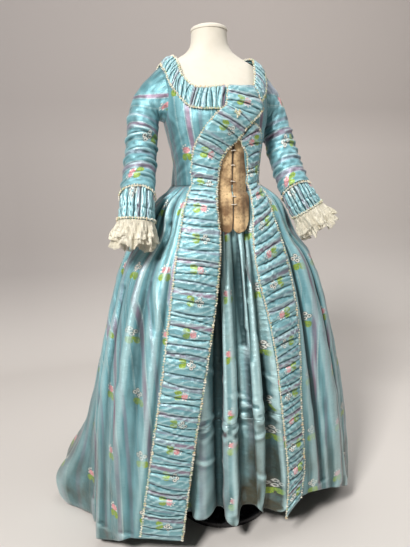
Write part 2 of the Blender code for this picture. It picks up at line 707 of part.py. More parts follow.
def sleeve_frame(side, s):
    """Middle, outer, forward and along directions of a sleeve at a share of its length."""
    row = 0 if side < 0 else 1
    spread, reach, drop = (ARM[c][row] for c in ("spread", "reach", "drop"))

    def middle(t):
        head = ease(t / 0.12) * ease((0.5 - t) / 0.3)
        out = read(SLEEVE, "out", t, "along") + spread * t
        forward = read(SLEEVE, "forward", t, "along") + reach * t * t
        height = read(SLEEVE, "height", t, "along") - drop * head
        return np.stack([out, -forward, height], -1)

    tangent = middle(s + 0.01) - middle(s - 0.01)
    tangent /= np.linalg.norm(tangent, axis=-1, keepdims=True)
    turn = np.radians(read(SLEEVE, "turn", s, "along"))
    outer = np.stack([np.sin(turn), 0 * turn, np.cos(turn)], -1)
    ahead = np.cross(tangent, outer)
    ahead /= np.linalg.norm(ahead, axis=-1, keepdims=True)
    return middle(s), outer, ahead, np.cross(outer, ahead)


def ring(middle, outer, ahead, radius, degrees):
    turn = np.radians(degrees)[..., None]
    return middle + radius[..., None] * (np.cos(turn) * outer + np.sin(turn) * ahead)


def mirrored(shape, side):
    """A left-hand tube for the left side, or its mirror image, still facing out, for the right."""
    return lambda u, v: shape(side * u, v) * np.array([side, 1, 1])


def sleeve_shape(side):
    def shape(degrees, s):
        middle, outer, ahead, _ = sleeve_frame(side, s)
        tube = ring(middle, outer, ahead, read(SLEEVE, "radius", s, "along"), degrees)
        turn = np.radians(degrees)
        angle = ARMHOLE_MIDDLE[0] - (ARMHOLE_REACH[0] + 1.5) * np.sin(turn)
        height = ARMHOLE_MIDDLE[1] + (ARMHOLE_REACH[1] + 0.004) * np.cos(turn)
        hole = bodice(angle, height) + (WALL + SLEEVE_LIFT) * outward(bodice, angle, height)
        share = 1 - (1 - np.clip(s / 0.16, 0, 1))[..., None] ** 2
        return hole * (1 - share) + tube * share

    return mirrored(shape, side)


def build_sleeves(silk, lace):
    for side, name in ((-1, "right"), (1, "left")):
        for part, rows in SLEEVE_ROWS:
            for half, first in SLEEVE_HALVES:
                turn = np.linspace(first + SLEEVE_SEAM, first + 180 - SLEEVE_SEAM, SLEEVE_COLUMNS)
                a, s = np.meshgrid(turn, rows, indexing="ij")
                label = f"sleeve_{part}_{half}_{name}"
                wall(label, sleeve_shape(side), side * a, s, silk, dv=-0.01)

        end, outer, ahead, tangent = sleeve_frame(side, np.array(1.0))
        row = 0 if side < 0 else 1
        tip = np.radians(CUFF["turn"][row])
        tilt = np.radians(CUFF_FORWARD)
        down = np.array([np.sin(tip), -np.sin(tilt), -np.cos(tip) * np.cos(tilt)])
        down /= np.linalg.norm(down)
        front = np.cross(down, outer)
        front /= np.linalg.norm(front)
        out = np.cross(front, down)
        start = end + tangent * CUFF_GAP
        length, radius, flare = (CUFF[c][row] for c in ("length", "radius", "flare"))

        def cuff(degrees, along_cuff):
            place = start + along_cuff[..., None] * down
            size = radius + flare * along_cuff / length
            blend = ease(1 - along_cuff / (length * 0.5))[..., None]
            side_out = out * (1 - blend) + outer * blend
            side_front = front * (1 - blend) + ahead * blend
            turn = np.radians(degrees)[..., None]
            return place + size[..., None] * (np.cos(turn) * side_out + np.sin(turn) * side_front)

        count = 2 * PLEATS["cuff"]
        turn = np.linspace(-180, 180, count, endpoint=False)
        a, t = np.meshgrid(turn, np.linspace(0, length, 3), indexing="ij")
        relief = RELIEF["cuff"] * (np.arange(count) % 2)[:, None] * np.array([0.6, 1, 0.6])[None, :]
        wall(f"cuff_{name}", mirrored(cuff, side), a, t, silk, relief=relief, closed=True, dv=-0.001)

        for layer in (0, 1):
            inside, reach, spread = (LACE[c][layer] for c in ("inside", "length", "flare"))
            begin = radius + flare - inside

            def ruffle(degrees, t):
                share = t / reach
                facing = 0.5 + 0.5 * np.cos(np.radians(degrees))
                wave = np.cos(np.radians(degrees * PLEATS["lace"]))
                size = begin + spread * share * (0.2 + 0.8 * facing) + 0.005 * share * wave
                place = start + (length + LACE_GAP + t)[..., None] * down
                return ring(place, out, front, size, degrees)

            turn = np.linspace(-180, 180, 4 * PLEATS["lace"], endpoint=False)
            a, t = np.meshgrid(turn, np.array([0.0, 0.5, 1.0]) * reach, indexing="ij")
            label = ("lace_upper", "lace_lower")[layer]
            wall(f"{label}_{name}", mirrored(ruffle, side), a, t, lace, LACE_WALL, closed=True, dv=-0.001)


def build():
    for obj in list(bpy.data.objects):
        bpy.data.objects.remove(obj, do_unlink=True)
    silk = material("blue_silk", (0.30, 0.56, 0.62), 0.42)
    linen = material("tan_linen", (0.50, 0.33, 0.18), 0.9)
    lace = material("ivory_lace", (0.80, 0.74, 0.62), 0.85)
    metal = material("hook_metal", (0.75, 0.70, 0.62), 0.4, 0.6)
    cover = material("ivory_cover", (0.90, 0.84, 0.72), 0.75)
    black = material("black_metal", (0.015, 0.015, 0.018), 0.25)
    build_stand(cover, black)
    build_petticoat(silk)
    build_lining(linen, metal)
    build_bodice(silk)
    build_skirt(silk)
    build_sack(silk)
    build_robings(silk)
    build_ruches(silk)
    build_sleeves(silk, lace)


build()
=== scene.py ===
# %% [markdown]
# # A robe a la francaise on its dress form
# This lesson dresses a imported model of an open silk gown, its petticoat and the form they stand on. Every
# piece of cloth is a thin sheet worked out with numpy: a function of two parameters, read on a grid and
# given a wall. The frame supplies the bodies; the sheets lie where its solids lie.

# %% Load the frame
import math

import bpy
import numpy as np
from mathutils import Matrix, Vector


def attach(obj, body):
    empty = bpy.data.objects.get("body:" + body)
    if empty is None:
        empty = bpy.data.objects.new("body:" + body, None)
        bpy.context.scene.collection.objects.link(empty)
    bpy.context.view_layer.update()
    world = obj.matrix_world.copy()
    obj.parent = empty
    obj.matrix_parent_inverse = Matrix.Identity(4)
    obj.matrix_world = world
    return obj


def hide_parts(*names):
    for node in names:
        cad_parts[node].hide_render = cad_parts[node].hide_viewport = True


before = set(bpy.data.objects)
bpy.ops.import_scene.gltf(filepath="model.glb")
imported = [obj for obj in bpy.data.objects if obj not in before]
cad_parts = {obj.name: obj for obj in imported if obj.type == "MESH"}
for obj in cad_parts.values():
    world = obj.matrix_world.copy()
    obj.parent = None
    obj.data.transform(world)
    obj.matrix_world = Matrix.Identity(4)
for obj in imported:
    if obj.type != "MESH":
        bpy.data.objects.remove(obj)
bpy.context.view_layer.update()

# %% [markdown]
# ## The gown's sizes
# A gown is cut from flat widths of silk, but it is easiest to describe as it hangs: for each height, how far
# it stands from an upright line at the side, front and back. A few rows are enough, because a cubic that
# never overshoots joins them. These are the same sizes as the solids have, in metres.

# %% Sizes and tables


def table(columns, *rows):
    """A short table as one array for each named column."""
    return dict(zip(columns.split(), np.array(rows, float).T))


WALL = 0.0018  # the thickness of a solid's wall of cloth
CLOTH = 0.0011  # the thickness of the sheets made here
LIFT = 0.0010  # from the linen's outer face to the bodice's inner one
TRIM_LIFT = 0.0019  # from the gown to the trimming sewn on it
SEAM = 0.0004  # between the edges of neighbouring pieces
WAIST = 1.052
LINING_OUT = 0.0051  # from the form to the outer face of the linen
BODICE_OUT = LINING_OUT + LIFT + WALL
NECK_TOP = 1.489
METRES_A_DEGREE = 0.0026  # what one degree is round the bodice at the bust
SIDE_SEAM = 91.5  # the angles of the seams, from the middle of the front
BACK_EDGE = 136.0
SKIRT_SEAM = 72.0
SACK_HALF = 52.0  # half the sack's width as an angle from the middle of the back
SACK_TOP = 1.404
STRAP_FRONT = 1.318
STRAP_BACK = 114.0
NECK_EDGE = 1.4095
SIDES = ((-1, "right"), (1, "left"))  # the wearer's right lies towards -X

CENTRE_LINE = table(
    "height y",
    (0.00, -0.015),
    (0.50, -0.022),
    (0.90, -0.032),
    (1.06, -0.036),
    (1.20, -0.032),
    (1.30, -0.018),
    (1.36, -0.004),
    (1.42, 0.002),
    (1.52, 0.000),
)
FORM = table(
    "height half_width front back square",
    (0.865, 0.128, 0.090, 0.098, 2.2),
    (0.880, 0.140, 0.098, 0.106, 2.2),
    (0.950, 0.139, 0.098, 0.102, 2.3),
    (1.020, 0.123, 0.093, 0.088, 2.3),
    (1.050, 0.1187, 0.0916, 0.0849, 2.3),
    (1.085, 0.117, 0.091, 0.083, 2.3),
    (1.150, 0.125, 0.098, 0.088, 2.35),
    (1.240, 0.142, 0.117, 0.097, 2.4),
    (1.300, 0.151, 0.107, 0.103, 2.5),
    (1.340, 0.154, 0.093, 0.101, 2.6),
    (1.370, 0.150, 0.079, 0.089, 2.6),
    (1.390, 0.135, 0.069, 0.077, 2.5),
    (1.410, 0.103, 0.061, 0.066, 2.3),
    (1.430, 0.072, 0.055, 0.058, 2.1),
    (1.450, 0.057, 0.053, 0.054, 2.0),
    (1.470, 0.053, 0.052, 0.052, 2.0),
    (1.490, 0.052, 0.052, 0.052, 2.0),
)
PETTICOAT = table(
    "height half_width front back square wave",
    (0.050, 0.368, 0.206, 0.390, 2.7, 0.024),
    (0.260, 0.355, 0.198, 0.350, 2.7, 0.022),
    (0.470, 0.330, 0.184, 0.305, 2.6, 0.019),
    (0.670, 0.292, 0.166, 0.250, 2.5, 0.015),
    (0.860, 0.232, 0.138, 0.180, 2.4, 0.009),
    (0.950, 0.180, 0.120, 0.130, 2.3, 0.005),
    (1.020, 0.142, 0.1025, 0.1000, 2.3, 0.002),
    (1.033, 0.1240, 0.0957, 0.0892, 2.3, 0.0006),
)
GOWN = table(
    "height half_width front back square",
    (0.000, 0.418, 0.246, 0.520, 2.7),
    (0.030, 0.422, 0.248, 0.550, 2.7),
    (0.080, 0.421, 0.248, 0.560, 2.7),
    (0.150, 0.415, 0.246, 0.535, 2.7),
    (0.260, 0.405, 0.242, 0.495, 2.7),
    (0.360, 0.394, 0.236, 0.465, 2.7),
    (0.470, 0.378, 0.228, 0.425, 2.65),
    (0.570, 0.360, 0.220, 0.385, 2.6),
    (0.670, 0.338, 0.209, 0.345, 2.6),
    (0.770, 0.312, 0.195, 0.305, 2.5),
    (0.860, 0.276, 0.178, 0.260, 2.5),
    (0.950, 0.226, 0.153, 0.198, 2.4),
    (1.015, 0.178, 0.124, 0.138, 2.35),
    (1.037, 0.150, 0.110, 0.110, 2.3),
)
print("form", FORM["height"][0], "to", NECK_TOP, "m; gown", 2 * GOWN["half_width"].max(), "m wide at the hem")

# %% [markdown]
# ## Where the edges run
# Two edges bound each gathered strip, and each row of its table is a place along it: an angle and a height on
# either edge. The hem is cut higher in front, where the skirts open, than at the train.

# %% Edges of the trimming and the hem
ROBING_RIGHT = table(
    "inner_angle inner_height outer_angle outer_height",
    (-41.0, 0.080, -57.5, 0.095),
    (-37.0, 0.253, -54.0, 0.282),
    (-32.0, 0.435, -51.0, 0.464),
    (-26.0, 0.611, -48.7, 0.639),
    (-20.0, 0.780, -47.8, 0.804),
    (-17.0, 0.905, -48.3, 0.920),
    (-19.5, 0.998, -47.0, 1.006),
    (-18.5, 1.062, -47.5, 1.075),
    (-8.5, 1.119, -37.0, 1.139),
    (4.0, 1.156, -23.0, 1.177),
    (17.5, 1.180, -9.7, 1.205),
    (25.0, 1.205, 2.5, 1.230),
    (30.5, 1.230, 8.5, 1.241),
)
ROBING_LEFT = table(
    "inner_angle inner_height outer_angle outer_height",
    (23.5, 0.080, 33.0, 0.132),
    (25.7, 0.213, 36.0, 0.242),
    (24.2, 0.386, 36.4, 0.408),
    (22.7, 0.557, 38.9, 0.579),
    (18.6, 0.704, 40.5, 0.729),
    (14.8, 0.791, 40.2, 0.820),
    (13.7, 0.859, 40.2, 0.893),
    (15.3, 0.913, 41.0, 0.955),
    (24.4, 1.007, 47.5, 1.028),
    (33.5, 1.080, 55.0, 1.093),
    (27.5, 1.140, 50.0, 1.152),
    (21.5, 1.172, 44.5, 1.188),
    (27.3, 1.204, 43.0, 1.222),
    (33.5, 1.232, 47.7, 1.262),
)
RUCHE_RIGHT = table(
    "neck_angle neck_height low_angle low_height",
    (16.8, 1.312, 9.5, 1.247),
    (-5.0, 1.310, -10.0, 1.250),
    (-23.6, 1.306, -27.3, 1.251),
    (-38.0, 1.307, -42.3, 1.256),
    (-47.5, 1.322, -51.0, 1.274),
    (-54.6, 1.344, -58.0, 1.298),
    (-60.0, 1.370, -65.0, 1.325),
    (-68.0, 1.392, -72.5, 1.363),
    (-88.0, 1.406, -89.0, 1.3875),
    (-108.0, 1.410, -105.0, 1.379),
    (-124.0, 1.411, -122.0, 1.378),
)
RUCHE_LEFT = table(
    "neck_angle neck_height low_angle low_height",
    (17.4, 1.312, 10.1, 1.247),
    (31.8, 1.306, 30.0, 1.243),
    (41.4, 1.316, 42.0, 1.262),
    (48.0, 1.336, 54.0, 1.290),
    (55.5, 1.364, 64.0, 1.325),
    (66.0, 1.391, 72.5, 1.363),
    (88.0, 1.406, 89.0, 1.3875),
    (108.0, 1.410, 105.0, 1.379),
    (124.0, 1.411, 122.0, 1.378),
)
HEM = table(
    "angle right left",
    (0.0, 0.078, 0.078),
    (23.5, 0.078, 0.080),
    (33.0, 0.078, 0.132),
    (41.0, 0.080, 0.136),
    (50.0, 0.088, 0.125),
    (60.0, 0.086, 0.098),
    (72.0, 0.045, 0.060),
    (90.0, 0.015, 0.028),
    (110.0, 0.003, 0.010),
    (130.0, 0.003, 0.003),
    (180.0, 0.003, 0.003),
)
print("robings:", len(ROBING_RIGHT["inner_angle"]), "and", len(ROBING_LEFT["inner_angle"]), "places")

# %% [markdown]
# ## Surfaces from tables
# A height and an angle round the body give a point: the radius is read from the section's curve, and folds
# are added to it. The unit normal comes from the differences on both sides of each point, so a layer that
# lies on another is simply the same function moved out along that normal.

# %% Surface helpers


def smooth(x, y, at):
    """A cubic through the points that never overshoots: slopes are harmonic means, zero at a turn."""
    step = np.diff(x)
    slope = np.diff(y) / step
    product = slope[:-1] * slope[1:]
    total = np.where(product > 0, slope[:-1] + slope[1:], 1.0)
    inner = np.where(product > 0, 2 * product / total, 0.0)
    tangent = np.concatenate([slope[:1], inner, slope[-1:]])
    at = np.clip(at, x[0], x[-1])
    i = np.clip(np.searchsorted(x, at, side="right") - 1, 0, len(step) - 1)
    t = (at - x[i]) / step[i]
    rise = (3 - 2 * t) * t * t
    bend_in = t * (1 - t) ** 2 * step[i] * tangent[i]
    bend_out = t * t * (t - 1) * step[i] * tangent[i + 1]
    return y[i] + rise * (y[i + 1] - y[i]) + bend_in + bend_out


def read(tab, column, at, key="height"):
    """A table's column read at any height, or at any value of another key, on its smooth cubic."""
    return smooth(tab[key], tab[column], np.asarray(at, float))


def ease(t):
    """0 before 0, 1 after 1: 3 t squared less 2 t cubed between them."""
    t = np.clip(t, 0, 1)
    return t * t * (3 - 2 * t)


for column in ("half_width", "front", "back"):
    GOWN[column] = np.append(GOWN[column], read(FORM, column, WAIST) + BODICE_OUT)
GOWN["square"] = np.append(GOWN["square"], read(FORM, "square", WAIST))
GOWN["height"] = np.append(GOWN["height"], WAIST)
print("gown at the waist:", round(2 * GOWN["half_width"][-1], 4), "m across")


def upright(tab, swell=None):
    """Sections |x/w|^p + |y/d|^p = 1 stacked by height, with swell added to the radius."""

    def shape(degrees, height):
        """The radius (|sin/w|^p + |cos/d|^p)^(-1/p) at each angle, round the upright centre line."""
        turn = np.radians(degrees)
        depth = np.where(np.cos(turn) > 0, read(tab, "front", height), read(tab, "back", height))
        square = read(tab, "square", height)
        across = np.abs(np.sin(turn)) / read(tab, "half_width", height)
        along = np.abs(np.cos(turn)) / depth
        radius = (across**square + along**square) ** (-1 / square)
        if swell:
            radius = radius + swell(degrees, height)
        x = radius * np.sin(turn)
        y = read(CENTRE_LINE, "y", height) - radius * np.cos(turn)
        return np.stack(np.broadcast_arrays(x, y, height), -1)

    return shape


def outward(shape, u, v, du=0.25, dv=0.001):
    """Unit normals: the cross product of the differences over 2 du and 2 dv."""
    across = shape(u + du, v) - shape(u - du, v)
    up = shape(u, v + dv) - shape(u, v - dv)
    normal = np.cross(across, up)
    return normal / np.linalg.norm(normal, axis=-1, keepdims=True)


def lifted(shape, lift):
    """The same surface moved out square to itself."""
    return lambda u, v: shape(u, v) + lift * outward(shape, u, v)


def signed(degrees):
    """The same angle from -180 up to 180, so that its sign tells the side."""
    return (degrees + 180) % 360 - 180


# %% [markdown]
# ## How the silk folds
# Taffeta is crisp: it falls in long, round ridges with narrow valleys, and breaks into short sharp creases
# where it is handled. The long folds are waves of the angle whose depth depends on the height. The creases
# are placed one by one as soft ridges along a line, so that no two are alike.

# %% Folds and creases
TRAIN = table(
    "height spread",
    (0.000, 0.098),
    (0.030, 0.116),
    (0.080, 0.124),
    (0.120, 0.112),
    (0.190, 0.072),
    (0.260, 0.042),
    (0.360, 0.022),
    (0.470, 0.010),
    (0.620, 0.000),
)
SACK = table(
    "height stand pleat",
    (0.00, 0.000, 0.026),
    (0.67, 0.000, 0.024),
    (0.77, 0.004, 0.022),
    (0.86, 0.016, 0.021),
    (0.95, 0.045, 0.019),
    (WAIST, 0.096, 0.016),
    (1.150, 0.066, 0.014),
    (1.250, 0.030, 0.012),
    (1.350, 0.006, 0.008),
    (1.410, 0.000, 0.005),
)


def silk_folds(degrees, height):
    """Waves every 16 degrees low down and 8 degrees under the waist, a dent under each cuff, the train."""
    a = np.abs(signed(degrees))
    window = ease((a - 60) / 10) * ease((130 - a) / 10)
    low = 0.012 * ease((0.95 - height) / 0.5) * np.cos(np.radians((a - 80) * 360 / 16)) * window
    hip = ease((WAIST - height) / 0.03) * ease((height - 0.78) / 0.16)
    pleats = 0.0035 * hip * np.cos(np.radians((a - 80) * 360 / 8)) * window
    dent = 0.026 * np.exp(-(((a - 67) / 15) ** 2) - ((height - 0.915) / 0.055) ** 2)
    start = np.where(signed(degrees) < 0, ease((a - 96) / 14), ease((a - 132) / 44))
    return low + pleats - dent + start * read(TRAIN, "spread", height)


def petticoat_folds(degrees, height):
    """Sixteen folds round the skirt with broad ridges: 1 less twice the square of how far in a point is."""
    wander = 2.2 * np.sin(np.radians(degrees * 3.1 + 40)) + 3.0 * np.sin(height * 5.2 + degrees * 0.05)
    inside = (1 - np.cos(np.radians((degrees + 11.5) * 16 + wander * 6))) / 2
    deep = read(PETTICOAT, "wave", height) * (1 - 2 * inside**1.7)
    narrow = np.cos(np.radians((degrees + 3) * 47 + 90 * np.sin(height * 7)))
    waist = ease((height - 0.60) / 0.3) * ease((1.04 - height) / 0.05)
    flutter = np.cos(np.radians(degrees * 37 + 200 * height)) * ease((0.45 - height) / 0.3)
    return deep + 0.0016 * narrow * waist + 0.0018 * flutter


def sack_folds(degrees, height):
    """How far the sack stands off the back, with two box pleats, each stepped twice to its side."""
    beta = np.abs(degrees % 360 - 180)
    stand = read(SACK, "stand", height) * ease((SACK_HALF - beta) / 14)
    step_in = ease((beta - 1.5) / 3)
    step_out = 0.5 * ease((25 - beta) / 3.5) + 0.5 * ease((38 - beta) / 3.5)
    return stand + read(SACK, "pleat", height) * step_in * step_out


def creases(u, v, *rows):
    """Ridges on lines from (u0, v0) to (u1, v1): depth * exp(-(distance / width)^2), eased at the ends."""
    height = np.zeros(np.broadcast(u, v).shape)
    for u0, v0, u1, v1, width, depth in rows:
        du, dv = u1 - u0, v1 - v0
        length = du * du + dv * dv
        t = np.clip(((u - u0) * du + (v - v0) * dv) / length, 0, 1)
        away = np.hypot(u - u0 - t * du, v - v0 - t * dv)
        height = height + depth * np.exp(-((away / width) ** 2)) * np.sin(np.pi * (0.06 + 0.88 * t)) ** 0.6
    return height


def ripples(u, v, *waves):
    """A sum of waves of two parameters: each has its turns along u and v, a start and a height."""
    return sum(h * np.sin(2 * np.pi * (a * u + b * v) + c) for a, b, c, h in waves)


# %% The layers as surfaces
form = upright(FORM)
bodice = lifted(form, BODICE_OUT)
petticoat = upright(PETTICOAT, petticoat_folds)
gown = upright(GOWN, silk_folds)
lining_skirt = upright(PETTICOAT, lambda a, z: read(PETTICOAT, "wave", z) + TRIM_LIFT + WALL)


def join_at_waist(above, below):
    """One surface above the waist and another below it."""

    def shape(u, v):
        """Above from the waist's height up, or else below."""
        return np.where((np.asarray(v) >= WAIST)[..., None], above(u, v), below(u, v))

    return shape


robe = join_at_waist(bodice, gown)


def sack(degrees, height):
    """The sack lies on the bodice's back above the waist and is the skirt's own width below it."""
    base = robe(degrees, height)
    over = (TRIM_LIFT + WALL + SEAM) * ease((height - WAIST + 0.008) / 0.012)
    normal = outward(robe, degrees, height)
    level = normal * np.array([1, 1, 0])
    level = level / np.linalg.norm(level, axis=-1, keepdims=True)
    return base + normal * over[..., None] + level * sack_folds(degrees, height)[..., None]


def lining(degrees, height):
    """The linen lies on the form above the waist and hangs over the petticoat below it."""
    upper = form(degrees, height) + LINING_OUT * outward(form, degrees, height)
    blend = ease((np.asarray(height) - WAIST + 0.036) / 0.036)[..., None]
    return upper * blend + lining_skirt(degrees, height) * (1 - blend)


def run_through(at, places, values):
    """Straight lines through marks at rising places, carried on past both ends."""
    places, values = np.asarray(places, float), np.asarray(values, float)
    i = np.clip(np.searchsorted(places, at) - 1, 0, len(places) - 2)
    return values[i] + (at - places[i]) * (values[i + 1] - values[i]) / (places[i + 1] - places[i])


def between(grid, x, y):
    """A grid of values read at places between its whole steps, as a blend of the four round each place."""
    i = np.clip(x.astype(int), 0, grid.shape[0] - 2)
    j = np.clip(y.astype(int), 0, grid.shape[1] - 2)
    p, q = x - i, y - j
    low = grid[i, j] * (1 - p) + grid[i + 1, j] * p
    high = grid[i, j + 1] * (1 - p) + grid[i + 1, j + 1] * p
    return low * (1 - q) + high * q


print("hem at the front and the back:", gown(0.0, 0.08).round(3), gown(180.0, 0.03).round(3))

# %% [markdown]
# ## Sheets of cloth
# A sheet starts as a grid of points, one for each pair of parameters. It gets quads, a UV map in metres of
# flat cloth, so that a woven pattern keeps its real size, and a Solidify wall that grows inwards. The
# Solidify modifier is simpler than building the inner side by hand, and keeps the grid readable.

# %% Grids to meshes
made = {}


def lengths(points, axis):
    """Running length along one side of a grid, as the mean over the other side."""
    step = np.linalg.norm(np.diff(points, axis=axis), axis=-1).mean(axis=1 - axis)
    return np.concatenate([[0], np.cumsum(step)])


def widest(points, axis):
    """Running length along one side of a grid, on the line where it is longest."""
    step = np.linalg.norm(np.diff(points, axis=axis), axis=-1)
    line = step.sum(axis=axis).argmax()
    return np.concatenate([[0], np.cumsum(np.take(step, line, axis=1 - axis))])


def flat_map(points, gather=(1.0, 1.0), start=(0.0, 0.0), turn=False):
    """Where each point lay on the flat silk, in metres; turn lays the warp along the columns' side."""
    across = start[0] + widest(points, 0) * gather[0]
    along = start[1] + lengths(points, 1) * gather[1]
    u, v = np.meshgrid(across, along, indexing="ij")
    return (v, u) if turn else (u, v)


def quads(columns, rows, closed=False):
    """Corner indices of a grid's quads; a closed grid joins its last column to its first."""
    index = np.arange(columns * rows).reshape(columns, rows)
    if closed:
        index = np.vstack([index, index[:1]])
    corners = [index[:-1, :-1], index[1:, :-1], index[1:, 1:], index[:-1, 1:]]
    return np.stack([c.ravel() for c in corners], 1)


def new_object(name, verts, faces, mat):
    """An object at the origin with its place in its mesh, shaded smooth."""
    mesh = bpy.data.meshes.new(name)
    faces = faces.tolist() if isinstance(faces, np.ndarray) else faces
    mesh.from_pydata(np.asarray(verts).reshape(-1, 3).tolist(), [], faces)
    mesh.materials.append(mat)
    mesh.shade_smooth()
    obj = bpy.data.objects.new(name, mesh)
    bpy.context.scene.collection.objects.link(obj)
    return obj


def set_map(obj, uv, faces):
    """Writes a UV map called cloth, one pair for each corner of each face."""
    layer = obj.data.uv_layers.new(name="cloth")
    layer.data.foreach_set("uv", np.asarray(uv, np.float32)[np.asarray(faces).ravel()].ravel())


# %% Painted shade, walls and sheets


def hollows(points, normals, closed=False, reach=0.005):
    """How far each point lies below the middle of its neighbours at a small reach, over that reach."""
    total = np.zeros(points.shape[:2])
    for axis in (0, 1):
        step = np.linalg.norm(np.diff(points, axis=axis), axis=-1).mean()
        k = max(1, round(reach / step))
        index = np.arange(points.shape[axis])
        if closed and axis == 0:
            before, after = (index - k) % len(index), (index + k) % len(index)
            even = np.ones(len(index), bool)
        else:
            before, after = np.clip(index - k, 0, None), np.clip(index + k, None, len(index) - 1)
            even = (index - before) == (after - index)
        middle = (np.take(points, before, axis) + np.take(points, after, axis)) / 2
        side = np.einsum("ijk,ijk->ij", middle - points, normals) / (k * step)
        total += side * np.expand_dims(even, 1 - axis)
    return total


def sheet(name, points, normals, flat, mat, closed=False, thickness=CLOTH, reach=0.005, painted_shade=0.0):
    """A sheet of cloth from a grid of points, with its faces turned the way the normals point, and an
    attribute of painted shade and highlight.
    """
    columns, rows = points.shape[:2]
    # painted light: how deep each point lies in a valley, plus any extra painted shade; the materials paint
    # it as shade in valleys and highlight on ridges
    painted_light = hollows(points, normals, closed, reach) + painted_shade
    across = np.diff(points[:, :-1], axis=0)
    up = np.diff(points[:-1], axis=1)
    if np.einsum("ijk,ijk->", np.cross(across, up), normals[:-1, :-1]) < 0:
        order = slice(None, None, -1)
        points, painted_light, flat = points[order], painted_light[order], tuple(f[order] for f in flat)
    faces = quads(columns, rows, closed)
    obj = new_object(name, points, faces, mat)
    corners = quads(columns + 1, rows) if closed else faces
    if closed:
        flat = [np.vstack([f, 2 * f[-1:] - f[-2:-1]]) for f in flat]
    set_map(obj, np.stack([f.ravel() for f in flat], -1), corners)
    shade_and_highlight = obj.data.attributes.new("shade_and_highlight", "FLOAT", "POINT")
    shade_and_highlight.data.foreach_set("value", painted_light.ravel().astype(np.float32))
    wall = obj.modifiers.new("wall", "SOLIDIFY")
    wall.thickness = thickness
    wall.offset = -1.0
    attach(obj, "root")
    made[name] = points
    return obj


# %% Hiding the solids under a sheet


def declare(obj, gather=(1.0, 1.0), nodes=()):
    """Hides the solids that the sheet stands for; its size when cut, its longest lines let out by the
    gathers, is worked out but not passed on.
    """
    points = made[obj.name]
    width = float(widest(points, 0)[-1]) * gather[0]
    length = float(widest(points, 1)[-1]) * gather[1]
    if nodes:
        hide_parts(*nodes)


# %% Patches and bands


def along(points, count):
    """Points at even steps along a line given by its corners."""
    points = np.asarray(points, float)
    length = np.hypot(*(np.diff(points, axis=0) * (METRES_A_DEGREE, 1)).T)
    at = np.concatenate([[0], np.cumsum(length)])
    even = np.linspace(0, at[-1], count)
    return np.stack([np.interp(even, at, points[:, k]) for k in (0, 1)], 1)


def coons(bottom, right, top, left, columns, rows):
    """A patch between four edges: both pairs blended, less the corners that are counted twice."""
    b, t = along(bottom, columns)[:, None], along(top, columns)[:, None]
    l, r = along(left, rows)[None], along(right, rows)[None]
    u = np.linspace(0, 1, columns)[:, None, None]
    v = np.linspace(0, 1, rows)[None, :, None]
    corners = (1 - u) * ((1 - v) * l[:, :1] + v * l[:, -1:]) + u * ((1 - v) * r[:, :1] + v * r[:, -1:])
    grid = (1 - v) * b + v * t + (1 - u) * l + u * r - corners
    return grid[..., 0], grid[..., 1]


def band(tab, names, count, first=0.0):
    """The angles and heights of a band's two edges, at even steps along its middle from a first share."""
    step = np.arange(len(tab[names[0]]), dtype=float)
    turn = np.diff(tab[names[0]] + tab[names[2]]) / 2 * METRES_A_DEGREE
    rise = np.diff(tab[names[1]] + tab[names[3]]) / 2
    length = np.concatenate([[0], np.cumsum(np.hypot(turn, rise))])
    at = np.interp(np.linspace(first, 1, count) * length[-1], length, step)
    return [smooth(step, tab[name], at) for name in names]


print("a grid of 4 by 3 points has", len(quads(4, 3)), "quads, or", len(quads(4, 3, True)), "when closed")

# %% [markdown]
# ## The silk
# A brocaded taffeta: a turquoise ground with mauve stripes along the warp, thin pale lines beside them, and
# small bouquets that a second weft brings to the face, blossoms above a block of leaves. The pattern is
# drawn from the UV map: a remainder repeats it, a colour ramp holds the stripes, and each blossom or leaf is
# the distance to a point. A painted image could do it too, but this stays sharp and can be recoloured.

# %% Node helpers


def put(tree, kind, *values, out=0, **settings):
    """A node whose first inputs are linked to sockets or set to numbers; gives back one output."""
    made_node = tree.nodes.new("ShaderNode" + kind)
    for key, value in settings.items():
        setattr(made_node, key, value)
    for socket, value in zip(made_node.inputs, values):
        if isinstance(value, bpy.types.NodeSocket):
            tree.links.new(value, socket)
        elif value is not None:
            socket.default_value = value
    return made_node.outputs[out]


def calc(tree, operation, *values):
    """One step of arithmetic on sockets and numbers."""
    return put(tree, "Math", *values, operation=operation)


def blend_colour(tree, share, first, second):
    """Mixes two colours, each a socket or an (r, g, b)."""
    mix = tree.nodes.new("ShaderNodeMix")
    mix.data_type = "RGBA"
    for socket, value in ((mix.inputs[0], share), (mix.inputs[6], first), (mix.inputs[7], second)):
        if isinstance(value, bpy.types.NodeSocket):
            tree.links.new(value, socket)
        else:
            socket.default_value = (*value, 1) if isinstance(value, tuple) else value
    return mix.outputs[2]


def ramp(tree, value, *stops):
    """A colour ramp from (place, (r, g, b)) stops."""
    made_node = tree.nodes.new("ShaderNodeValToRGB")
    tree.links.new(value, made_node.inputs[0])
    marks = made_node.color_ramp.elements
    while len(marks) < len(stops):
        marks.new(0.5)
    for mark, (place, colour) in zip(marks, stops):
        mark.position = place
        mark.color = (*colour, 1)
    return made_node.outputs[0]


def principled(name, **values):
    """A material and its tree; each value is set on the shader's own socket."""
    mat = bpy.data.materials.new(name)
    mat.use_nodes = True
    tree = mat.node_tree
    shader = tree.nodes["Principled BSDF"]
    for key, value in values.items():
        shader.inputs[key.replace("_", " ")].default_value = value
    return mat, tree, shader


def link(tree, socket, shader, name):
    """Joins a socket to the shader's input of that name."""
    tree.links.new(socket, shader.inputs[name])


def bump(tree, height, distance, strength):
    """A normal tilted by the height's slope, as deep as the distance and as strong as the strength."""
    return put(tree, "Bump", strength, distance, None, height)


print("materials so far:", len(bpy.data.materials))

